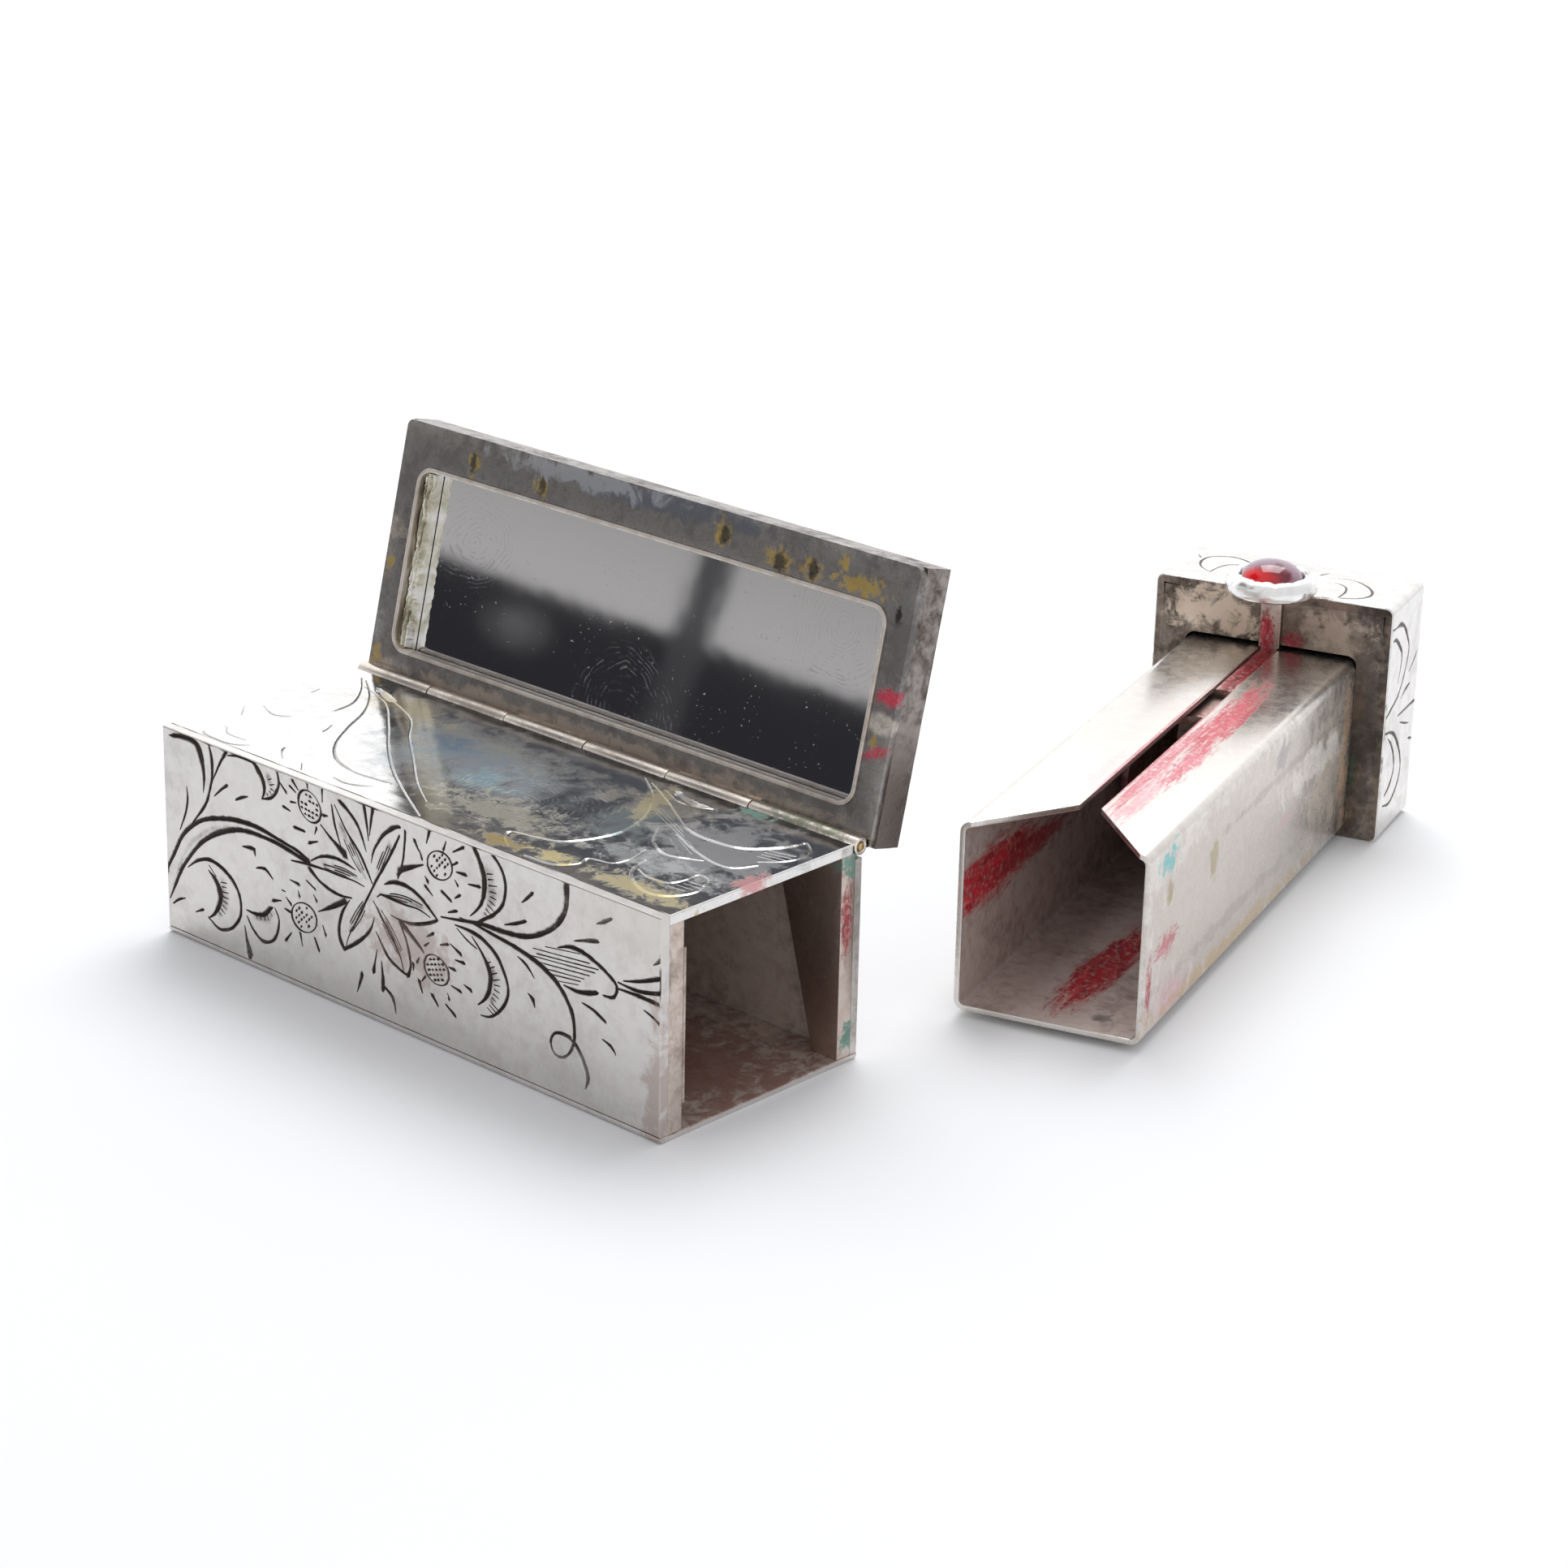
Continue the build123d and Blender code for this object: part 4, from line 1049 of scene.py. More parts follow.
def lathe(name, profile, centre, mat, turns=96, wobble=0.0):
    """Turns (radius, height, roughness) points about a vertical axis. wobble is the roughness in mm."""
    verts, faces = [], []
    for i in range(turns):
        angle = 2 * math.pi * i / turns
        for k, (r, z, rough) in enumerate(profile):
            place_on = Vector((math.cos(angle) * 3, math.sin(angle) * 3, k * 0.21))
            bump = mnoise.fractal(place_on, 0.9, 2.0, 4) * wobble * rough
            radius = r + min(bump, 0.0) if r > 0 else 0
            swell = mnoise.noise(Vector((math.cos(angle) * 4, math.sin(angle) * 4, 5.0)))
            lift = min(swell * wobble * rough * 0.5, 0)
            point = Vector((math.cos(angle) * radius, math.sin(angle) * radius, z + lift))
            verts.append((centre + point) * MM)
    size = len(profile)
    for i in range(turns):
        j = (i + 1) % turns
        for k in range(size - 1):
            faces.append([i * size + k, j * size + k, j * size + k + 1, i * size + k + 1])
    obj = finish_mesh(name, verts, faces, [mat], smooth=True)
    weld(obj, 1e-6)
    return obj


def joined(name, objs):
    """One piece out of several, keeping their materials and patina."""
    mats = []
    mesh = bmesh.new()
    for obj in objs:
        base = len(mats)
        mats += list(obj.data.materials)
        before = len(mesh.faces)
        mesh.from_mesh(obj.data)
        mesh.faces.ensure_lookup_table()
        for face in mesh.faces[before:]:
            face.material_index += base
    data = bpy.data.meshes.new(name)
    mesh.to_mesh(data)
    mesh.free()
    for mat in mats:
        data.materials.append(mat)
    for obj in objs:
        bpy.data.objects.remove(obj)
    return added(name, data)


def ring_mesh(name, outer, inner, to_space, low, high, mat):
    """A rectangular ring between two depths."""
    verts, faces = [], []
    for depth in (low, high):
        for a0, a1, b0, b1 in (outer, inner):
            verts += [to_space(a, b, depth) * MM for a, b in ((a0, b0), (a1, b0), (a1, b1), (a0, b1))]
    for i in range(4):
        j = (i + 1) % 4
        faces += [
            [i, j, 4 + j, 4 + i],
            [8 + i, 12 + i, 12 + j, 8 + j],
            [i, 8 + i, 8 + j, j],
            [4 + i, 4 + j, 12 + j, 12 + i],
        ]
    obj = finish_mesh(name, verts, faces, [mat])
    tidy_normals(obj)
    return obj


# ---------------------------------------------------------------- sheath

def add_sheath():
    front = silver(
        "front_silver", tone=(0.70, 0.675, 0.655), warm=(0.62, 0.585, 0.555), patina=0.12, rough=0.34,
        vary=0.08, bump=0.35, grain=(1.2, 1.2, 6), groove=0.97, speck=0.16, marks=(
            film((24, -FACE, 15.5), (9, 2, 3), (0.62, 0.585, 0.52), amount=0.3),
            # This grey film makes the front darker towards its bottom edge.
            film((0, -FACE, 0.8), (30, 2, 2.2), (0.50, 0.48, 0.465), amount=0.2, scale=0.4),
            film((1.5, -FACE, 7.5), (5.5, 2, 3), (0.34, 0.24, 0.22), amount=0.45, scale=0.7),
            film((18, -FACE, 3), (6, 2, 2), (0.52, 0.50, 0.48), amount=0.35, scale=0.5),
            film((26.7, -FACE, 4), (1.2, 2, 8), (0.42, 0.32, 0.28), amount=0.6),
        ),
    )
    inside = silver(
        "inside_silver", tone=(0.62, 0.53, 0.47), warm=(0.50, 0.38, 0.32), dark=(0.16, 0.11, 0.09),
        metal=0.35, patina=0.5, rough=0.5, bump=0.5, grain=(0.3, 4, 4), speck=0.5, marks=(
            smear(
                (24, 0, 0.6), (5, 7, 1.2), amount=0.45, seed=3, ragged=4.5, low=(0.07, 0.012, 0.012),
                high=(0.22, 0.03, 0.03),
            ),
        ),
    )
    petals = [
        "-6.4 15.0 0.42  -4.9 12.9 0.5  -3.6 11.4 0.2", "-0.9 14.9 0.4  -1.9 12.9 0.45  -2.6 11.5 0.2",
        "-8.3 11.1 0.3  -6.2 11.2 0.4  -4.4 11.1 0.2", "-5.6 6.6 0.35  -4.5 8.2 0.5  -3.5 9.8 0.25",
        "-2.3 9.4 0.25  -1.2 8.1 0.55  0.2 6.4 0.45", "-1.6 10.6 0.25  0.5 10.9 0.45  2.6 10.9 0.25",
    ]
    shades = [
        "-25.9 5.3 0.28  -24.2 8.2 0.34  -21.6 10.2 0.38  -18.4 11.3 0.3",
        "-20.4 6.4 0.6  -20.2 4.6 0.75  -20.9 3.2 0.3", "-16.6 4.4 0.4  -15 4.8 0.6  -14.3 5.5 0.3",
        "9.6 15.9 0.7  10 13.9 0.75  9.2 12.2 0.35", "9.5 8.9 0.4  10.4 7.1 0.75  10 5.7 0.4",
        "-14.6 16.6 0.5  -14.2 15.6 0.4  -15 14.9 0.15",
    ]
    heads = front_heads()

    def front_space(a, b, d):
        return Vector((a, -FACE + d, b))

    def top_space(a, b, d):
        return Vector((a, b, TOP_Z - d))

    strokes = list(FRONT) + heads + hatching(petals) + hatching(shades[1:], True)
    plate = plate_mesh(
        "front_panel", (-PANEL_X, PANEL_X, PANEL_LOW, TOP_Z), strokes, front_space, 0.8, [front, inside],
        shades=petals + shades, **CHASED,
    )
    claim(plate, "sheath_front_panel", "sheath")

    back = silver(
        "back_silver", tone=(0.62, 0.595, 0.57), warm=(0.48, 0.43, 0.38), patina=0.35, rough=0.34,
        groove=0.9, shift=(9, 4, 2),
    )

    def back_space(a, b, d):
        return Vector((-a, FACE - d, b))

    plate = plate_mesh(
        "back_panel", (-PANEL_X, PANEL_X, PANEL_LOW, 16.15), list(FRONT) + heads, back_space, 0.8,
        [back, inside], **CHASED,
    )
    claim(plate, "sheath_back_panel", "sheath")

    top = silver(
        "top_silver", tone=(0.80, 0.79, 0.78), warm=(0.70, 0.68, 0.64), patina=0.10, rough=0.10,
        vary=0.06, bump=0.14, grain=(1, 3, 1), groove=0.45, speck=0.12, wave=0.12, marks=(
            top_film(
                -4, 1.5, (12, 7, 3), (0.25, 0.305, 0.345), amount=0.85, scale=0.25, soft=0.9, ragged=1.2,
                body=0.75,
            ),
            top_film(
                -9, 3, (5, 3.5, 3), (0.10, 0.17, 0.26), amount=0.7, scale=0.4, soft=0.9, ragged=1.2,
                body=0.6,
            ),
            top_film(
                -1, -1, (4, 3, 3), (0.26, 0.42, 0.47), amount=0.6, scale=0.5, soft=0.9, ragged=1.2,
                body=0.6,
            ),
            top_film(13, 1, (4, 5, 3), (0.22, 0.34, 0.36), amount=0.5, scale=0.4, soft=0.8, body=0.5),
            top_film(-6, 5, (14, 3, 2), (0.34, 0.31, 0.24), amount=0.5, scale=0.6, soft=0.8, body=0.6),
            top_film(
                -17.5, 6.2, (6, 2.6, 2), (0.50, 0.40, 0.22), amount=0.6, scale=0.5, soft=0.7, body=0.5,
            ),
            top_film(5, -4.5, (9, 3.4, 2), (0.72, 0.66, 0.50), amount=0.7, scale=0.9, soft=0.7, body=0.5),
            top_film(
                22, -7.6, (6, 1.7, 2), (0.56, 0.46, 0.21), amount=0.8, scale=0.8, soft=0.6, shine=0.15,
                body=0.7,
            ),
            top_film(
                9, -8.3, (3, 1.3, 2), (0.34, 0.24, 0.06), amount=0.9, scale=0.9, shine=0.2, body=0.6,
            ),
            top_film(
                13.5, -7.8, (2.5, 1.2, 2), (0.62, 0.50, 0.18), amount=0.8, scale=0.9, shine=0.2, body=0.6,
            ),
            top_film(12, 5, (6, 3.4, 2), (0.44, 0.37, 0.26), amount=0.55, scale=0.5, body=0.6),
            # Painted reflection and highlight: the grey patch lightens the right end as reflections would,
            # and the pale streak is a painted bright glint.
            top_film(21, 1, (7, 8, 2), (0.56, 0.56, 0.56), amount=0.6, scale=0.5, body=0.6),
            top_film(
                19, -3.5, (8, 1.8, 2), (0.80, 0.80, 0.79), amount=0.55, scale=0.7, ragged=2.2, body=0.5,
            ),
            top_film(
                11, 5, (1.4, 5, 2), (0.60, 0.50, 0.28), turn=(0, 0, 0.5), amount=0.7, scale=0.9, body=0.6,
            ),
            top_film(27, -1.5, (1.1, 2.6, 2), (0.65, 0.20, 0.20), amount=0.7, shine=0.2, body=0.8),
            top_film(
                18, 8.8, (2.2, 1, 2), (0.10, 0.42, 0.32), amount=0.7, scale=1.2, shine=0.3, body=0.8,
            ),
            ridges((4, -1.5, TOP_Z), (9, 7, 3), (0.86, 0.84, 0.78), step=0.42, amount=0.55),
        ),
    )
    top_shades = [
        "10.8 7.8 0.3  13.2 6.9 0.5  14.6 7.2 0.2", "-21.9 7.2 0.25  -19.6 6.2 0.5  -18.6 6.1 0.2"
    ]
    plate = plate_mesh(
        "top_panel", (-PANEL_X, PANEL_X, -9.7, 9.4), list(TOP) + top_shades, top_space, 0.75,
        [top, inside], lean=0.15, steep=0.5, dark=0.85,
    )
    claim(plate, "sheath_top_panel", "sheath")

    pad = silver(
        "pad_silver", tone=(0.64, 0.555, 0.50), warm=(0.48, 0.36, 0.305), dark=(0.10, 0.06, 0.045),
        patina=0.45, rough=0.36, grain=(1, 1, 5), speck=0.45, marks=(
            smear((27.1, 8.9, 11.5), (0.8, 0.7, 3.4), amount=0.9, seed=1, ragged=3.5),
            film((27, 9.8, 2.2), (1.5, 1.5, 1.6), (0.10, 0.30, 0.25), amount=0.8, scale=1.1, shine=0.3),
            film((27, 9.4, 16), (2, 1.5, 1.4), (0.10, 0.33, 0.27), amount=0.7, scale=1.1, shine=0.3),
        ),
    )
    base = silver(
        "base_silver", tone=(0.55, 0.47, 0.42), warm=(0.40, 0.27, 0.22), dark=(0.10, 0.06, 0.05),
        patina=0.6, rough=0.45, grain=(0.3, 3, 1), bump=0.5, metal=0.4, speck=0.5, marks=(
            film((20, 0, 0.6), (14, 10, 0.8), (0.23, 0.10, 0.08), amount=0.75, scale=0.7),
        ),
    )
    for name, mat, width in (
        ("front_guide_pad", pad, 0.1), ("back_guide_pad", pad, 0.1),
        ("sheath_end_panel", back, 0.12), ("hinge_bearer", knuckle_silver(), 0.06),
        ("mouth_spring_leaf", base, 0.04),
    ):
        wear(name, mat, "leaf" if name == "mouth_spring_leaf" else "sheath", "tarnished_silver", width)

    def faces_in(p):
        return p.z > 0.4 and abs(p.y) < 10.2

    wear("sheath_bottom_panel", front, "sheath", "tarnished_silver", 0.1, 2, base, faces_in)


@cache
def knuckle_silver():
    return silver(
        "knuckle_silver", tone=(0.82, 0.75, 0.68), warm=(0.64, 0.53, 0.44), dark=(0.12, 0.08, 0.06),
        patina=0.35, rough=0.3, grain=(1, 5, 5), speck=0.4, marks=(
            film(
                (22, 10.3, 17), (5, 2, 2), (0.17, 0.23, 0.13), amount=0.6, scale=1.2, shine=0.2, ragged=3,
            ),
        ),
    )


def add_hinge():
    for i in (1, 2, 3):
        for body in ("sheath", "lid"):
            wear(f"{body}_knuckle_{i}", knuckle_silver(), body, "polished_silver", 0.2)
    pin = silver("pin_brass", tone=(0.62, 0.45, 0.22), warm=(0.42, 0.28, 0.12), patina=0.5, rough=0.35)
    wear("hinge_pin", pin, "sheath", "pin_wire", 0.06)


# ---------------------------------------------------------------- lid

def add_lid():
    ochre = (0.34, 0.23, 0.05)
    spots = tuple(
        lid_film(
            x, u, (w * 1.2, 1, h * 1.2), ochre, amount=0.9, scale=1.6, ragged=2.2, shine=0.25, body=0.6,
        )
        for x, u, w, h in (
            (-19.1, 18.9, 0.6, 0.6), (-11.4, 18.7, 0.8, 0.7), (8, 19.2, 0.9, 0.8), (13.9, 18.4, 1.3, 0.6),
            (17.2, 18.5, 0.9, 0.5),
            (21.8, 18.4, 2.4, 0.6), (20.1, 19.4, 0.5, 0.6), (-26.8, 9, 0.5, 2), (-26.6, 1.5, 0.7, 0.6),
            (25.9, 7.8, 0.3, 0.6),
        )
    )
    red = (0.36, 0.010, 0.035)
    frame_mat = silver(
        "frame_silver", tone=(0.30, 0.285, 0.275), warm=(0.22, 0.185, 0.16), dark=(0.06, 0.055, 0.055),
        patina=0.6, rough=0.2, vary=0.14, bump=0.45, grain=(4, 1, 1), speck=0.6, cloud_at=(0.40, 0.60),
        marks=spots + tuple(
            lid_film(x, u, (0.45 * w, 1, 0.3 * w), (0.03, 0.025, 0.02), amount=0.9, scale=2.0, ragged=1.0)
            for x, u, w in (
                (-19.2, 18.9, 1), (-11.3, 18.7, 1.2), (8.2, 19.1, 1.6), (14, 18.3, 2), (17.3, 18.5, 1.5),
                (26, 17, 1)
            )
        ) + (
            # Painted reflection: a bluish black band near the top edge of the frame.
            lid_film(0, 20.0, (16, 1, 1.2), (0.10, 0.115, 0.15), amount=0.6, scale=0.4),
            lid_film(2, 0.9, (30, 1, 1.4), (0.42, 0.345, 0.29), amount=0.7, scale=0.4),
            lid_film(26.3, 9, (1.7, 1, 10), (0.60, 0.54, 0.48), amount=0.9, scale=0.5, ragged=0.7),
            lid_film(-26.5, 12, (1.3, 1, 9), (0.46, 0.40, 0.34), amount=0.7, scale=0.5),
            # Painted highlight: a thin pale line along that band.
            lid_film(-8, 20.2, (10, 1, 0.35), (0.50, 0.50, 0.52), amount=0.5, scale=0.4, ragged=2.2),
            smear(
                lid_point(26.6, 11, 0.6), (1.5, 1.5, 0.75), amount=0.95, seed=2, ragged=3.6, low=red,
                high=(0.60, 0.025, 0.07),
            ),
            smear(
                lid_point(26.3, 6.8, 0.6), (1.4, 1.5, 0.5), (0, -0.35, 0), amount=0.9, seed=5, ragged=4.2,
                low=red, high=(0.60, 0.025, 0.07),
            ),
        ),
    )
    lip_mat = silver(
        "lip_silver", tone=(0.64, 0.585, 0.53), warm=(0.48, 0.40, 0.33), patina=0.3, rough=0.36,
        speck=0.2,
    )
    outer_mat = silver(
        "lid_silver", tone=(0.64, 0.615, 0.59), warm=(0.52, 0.47, 0.42), patina=0.28, rough=0.3,
        groove=0.9, shift=(3, 8, 1),
    )
    side_mat = silver(
        "lid_side_silver", tone=(0.31, 0.28, 0.265), warm=(0.22, 0.175, 0.15), dark=(0.05, 0.04, 0.035),
        patina=0.8, rough=0.3, bump=0.6, speck=0.6, grain=(1, 3, 3),
    )

    def outer_space(a, b, d):
        return lid_point(-a, b, LID_FACE - d)

    def fitted(line):
        """A line of the front's pattern moved and squeezed to fit the lid."""
        return [(a, 2.0 + b * 0.98, w) for a, b, w in line]

    strokes = [fitted(parse(text)) for text in FRONT] + [fitted(line) for line in front_heads()]
    mats = [outer_mat, side_mat]
    face = plate_mesh("lid_face", LID_RECT, strokes, outer_space, 0.9, mats, edge=1, **CHASED)
    wall = ring_mesh("lid_wall", LID_RECT, (-26.15, 26.1, 1.05, 19.05), outer_space, 0.9, 2.75, side_mat)
    claim(joined("lid_tray_engraved", [face, wall]), "lid_tray", "lid")
    wear("lid_frame", frame_mat, "lid", "tarnished_silver", 0.14, 3)
    wear("lid_lip", lip_mat, "lid", "tarnished_silver", 0.12, 2)
    wear("mirror_glass", mirror_glass(), "lid", "mirror", 0.1, 1)
    add_foil()


def add_foil():
    """Crumpled foil: flat under the glass, folded up over its closed-end edge in pleats."""
    under, start, reach = 3.12, -24.70, 1.12
    path = [(x, under) for x in (26.0, 10, -10, -24.6)]
    path += [(-24.62 - 0.1 * i / 3, 2.9 - 1.5 * i / 3) for i in range(4)]
    steps = 20
    path += [(start + reach * i / steps, None) for i in range(steps + 1)]
    path += [(-23.56, 1.6), (-23.58, 1.93)]
    us = [1.15 + 17.2 * j / 120 for j in range(121)]
    verts, faces = [], []
    for x, depth in path:
        for u in us:
            if depth is None:
                across = (x - start) / reach
                warp = mnoise.noise(Vector((0.5, u * 0.7, 1.0))) * 0.16
                fold = 0.17 * math.cos((across + warp) * 2 * math.pi * 2.5)
                fold += 0.16 * mnoise.noise(Vector((x * 2.6, u * 1.9, 4.0)))
                fold += 0.08 * mnoise.noise(Vector((x * 7, u * 6.0, 9.0)))
                n = 1.0 - fold + 0.35 * (2 * across - 1) ** 4
            else:
                n = depth
            if u < 2.7 or u > 17.0:
                n = max(n, 1.7)
            verts.append(lid_point(x, u, n) * MM)
    rows = len(us)
    for i in range(len(path) - 1):
        for j in range(rows - 1):
            k = i * rows + j
            faces.append([k, k + 1, k + rows + 1, k + rows])
    piece = finish_mesh("foil_pleats", verts, faces, [foil()])
    thicken(piece, 0.02)
    claim(piece, "mirror_backing", "lid")


def thicken(obj, amount):
    """Closes an open sheet by giving it a thickness, in mm."""
    with edited(obj.data) as mesh:
        bmesh.ops.recalc_face_normals(mesh, faces=mesh.faces)
        bmesh.ops.solidify(mesh, geom=mesh.faces[:], thickness=amount * MM)


# ---------------------------------------------------------------- tube half

def add_tube():
    streaks = dict(grain=(0.12, 2.2, 2.2), turn=(0, 0, -YAW))
    pink = (0.72, 0.48, 0.52)
    tube = silver(
        "tube_silver", tone=(0.72, 0.69, 0.66), warm=(0.62, 0.54, 0.46), dark=(0.22, 0.165, 0.13),
        patina=0.10, rough=0.27, speck=0.05, bump=0.05, marks=(
            unit_film(26, -7.7, 8, (34, 0.6, 9), (0.53, 0.475, 0.425), amount=0.75, soft=0.3, ragged=0.6),
            unit_film(22, -7.7, 4.2, (22, 0.5, 0.7), (0.40, 0.36, 0.34), amount=0.5, scale=0.4),
            unit_film(30, -7.7, 12, (16, 0.5, 0.5), (0.36, 0.31, 0.26), amount=0.5, scale=0.4),
            unit_film(42, -7.7, 6.5, (9, 0.5, 0.5), (0.45, 0.37, 0.31), amount=0.5, scale=0.4),
            unit_film(48.5, 0, 9, (3.5, 9, 9), (0.42, 0.31, 0.23), amount=0.4, soft=0.9),
            unit_film(
                44, -7.7, 8, (9, 0.6, 10), (0.62, 0.54, 0.46), amount=0.85, scale=0.4, soft=0.8,
                ragged=0.7, body=0.75,
            ),
            unit_film(40, -7.7, 10, (9, 0.6, 2), (0.84, 0.80, 0.75), amount=0.7, scale=0.4, body=0.5),
            unit_film(20, -7.6, 1.6, (26, 1, 1.2), (0.60, 0.43, 0.22), amount=0.6),
            unit_film(48.6, -7.6, 9, (1.6, 1, 8), (0.72, 0.46, 0.28), amount=0.7, body=0.6),
            unit_film(15, -7.6, 10.5, (1.0, 1, 2.2), (0.36, 0.30, 0.16), amount=0.7),
            unit_film(5, -7.6, 11, (1.2, 1, 1.2), (0.34, 0.27, 0.14), amount=0.7),
            unit_film(31, -7.6, 13.5, (2, 1, 1.6), (0.28, 0.26, 0.27), amount=0.6),
            unit_film(
                4, -7.6, 14.1, (2.3, 0.8, 1.1), (0.22, 0.56, 0.56), amount=0.85, shine=0.3, ragged=3.0,
                scale=0.9, body=0.7,
            ),
            unit_smear(
                4.6, -7.6, 7.3, (2.6, 0.8, 1.1), 0.8, 1, 4.5, (0.42, 0.05, 0.09), (0.60, 0.16, 0.20),
            ),
            unit_smear(6, -7.6, 2.6, (4, 0.8, 1.7), 0.5, 4, 4.0, pink, (0.62, 0.22, 0.28)),
            unit_smear(33, -7.6, 7.6, (2.6, 0.8, 0.6), 0.4, 4, 4.0, pink, (0.62, 0.22, 0.28)),
            unit_smear(19, -1.7, 16, (15, 0.8, 1), 0.85, 11, 3.0, (0.50, 0.03, 0.07), (0.74, 0.22, 0.28)),
            unit_smear(11, -2.9, 16, (7, 0.9, 1), 0.6, 13, 4.0, (0.60, 0.12, 0.18), (0.80, 0.36, 0.42)),
            unit_smear(
                22, -0.9, 15.8, (22, 0.22, 0.5), 0.9, 17, 2.0, (0.30, 0.004, 0.02), (0.60, 0.05, 0.09),
            ),
            unit_smear(
                24, 0.95, 15.8, (20, 0.25, 0.5), 0.7, 19, 2.5, (0.30, 0.004, 0.02), (0.60, 0.10, 0.14),
            ),
            unit_film(14, 1.7, 16, (9, 1.0, 1), pink, amount=0.4, scale=1.5),
            unit_smear(
                31, -2.9, 16, (11, 1.5, 1), 0.92, 6, 3.4, (0.46, 0.012, 0.04), (0.74, 0.09, 0.13),
                turn=(0, 0, YAW + 0.02),
            ),
            unit_smear(20, -3.4, 16, (6, 1.0, 1), 0.85, 2, 4.0, (0.50, 0.03, 0.08), (0.74, 0.16, 0.22)),
            unit_smear(1.0, -7.3, 5, (0.8, 0.7, 3), 0.9, 7, 4.0, (0.30, 0.01, 0.03), (0.55, 0.04, 0.08)),
        ), **streaks,
    )
    bore = silver(
        "bore_silver", tone=(0.60, 0.50, 0.46), warm=(0.46, 0.34, 0.30), dark=(0.16, 0.09, 0.08),
        patina=0.5, rough=0.42, metal=0.4, speck=0.25, bump=0.35, marks=(
            unit_smear(
                5, 7.2, 9.9, (13, 0.9, 2.7), 1.0, 9, 2.2, (0.26, 0.003, 0.010), (0.60, 0.02, 0.035),
                turn=(0, 0.02, YAW),
            ),
            unit_smear(
                14, 7.2, 9.2, (9, 0.9, 1.3), 0.9, 2, 2.6, (0.20, 0.003, 0.010), (0.42, 0.02, 0.04),
                turn=(0, 0.05, YAW),
            ),
            unit_smear(
                12, -0.3, 1.0, (11.5, 2.1, 0.9), 1.0, 3, 2.2, (0.24, 0.003, 0.010), (0.60, 0.02, 0.035),
                turn=(0, 0, YAW - 0.03),
            ),
            unit_smear(
                12, -6.9, 4.5, (8, 0.9, 2.2), 0.85, 7, 3.6, (0.14, 0.003, 0.010), (0.36, 0.02, 0.04),
                turn=(0, 0.2, YAW),
            ),
            # Painted shade: a dark film deep inside the bore, where little light reaches.
            unit_film(28, 0, 12, (17, 9, 7), (0.10, 0.05, 0.045), amount=0.8, soft=0.8),
            unit_film(2.6, -3.6, 1, (0.8, 0.9, 0.5), (0.10, 0.09, 0.085), amount=0.6),
        ), **streaks,
    )

    def in_bore(p):
        local = p - MOUTH
        return abs(local.dot(LEFT)) < 7.25 and 0.95 < p.z < 15.65 and local.dot(ALONG) > 0.1

    wear("tube_body", tube, "tube", "tarnished_silver", 0.09, 2, bore, in_bore)

    cap = silver(
        "cap_silver", tone=(0.76, 0.74, 0.72), warm=(0.62, 0.58, 0.54), patina=0.16, rough=0.2, vary=0.1,
        groove=0.85, speck=0.12, bump=0.2, shift=(2, 2, 5), marks=(
            unit_film(50.1, 0, 10.5, (0.45, 12, 12), (0.20, 0.155, 0.125), amount=0.9, soft=0.7),
        ),
    )
    plate = silver(
        "plate_silver", tone=(0.31, 0.26, 0.22), warm=(0.36, 0.275, 0.205), dark=(0.045, 0.036, 0.032),
        patina=0.85, rough=0.33, vary=0.2, bump=0.7, speck=0.5, cloud_at=(0.38, 0.62), marks=(
            unit_film(50, -8.5, 10, (1.5, 2.6, 12), (0.10, 0.088, 0.082), amount=0.7, scale=0.6),
            unit_smear(49.95, -1.9, 16.9, (1.2, 1.1, 0.9), 0.9, 3, 4.0),
            unit_film(
                49.95, -7.9, 6.5, (0.8, 0.2, 2.4), (0.10, 0.20, 0.14), amount=0.5, shine=0.2, ragged=3.0,
            ),
            unit_film(49.95, 5, 18.4, (1, 5, 2.6), (0.78, 0.64, 0.52), amount=0.9, scale=0.6, body=0.3),
            unit_film(49.95, -5.5, 18.0, (1, 3.6, 2.2), (0.52, 0.43, 0.36), amount=0.8, scale=0.6),
        ),
    )
    top = [[(a, -b, w) for a, b, w in parse(text)] for text in CAP_TOP]
    right = [[(a, CAP_HALF - b, w) for a, b, w in parse(text)] for text in CAP_SIDE]
    left = [[(a, b - CAP_HALF, w) for a, b, w in parse(text)] for text in CAP_SIDE]
    band = band_mesh("cap_band_engraved", {1: left, 2: top, 3: right}, 0.8, [cap, plate])
    claim(band, "cap_band", "tube")
    wear("cap_front_plate", plate, "tube", "tarnished_silver", 0.07)
    wear("cap_end_plate", cap, "tube", "tarnished_silver", 0.05)


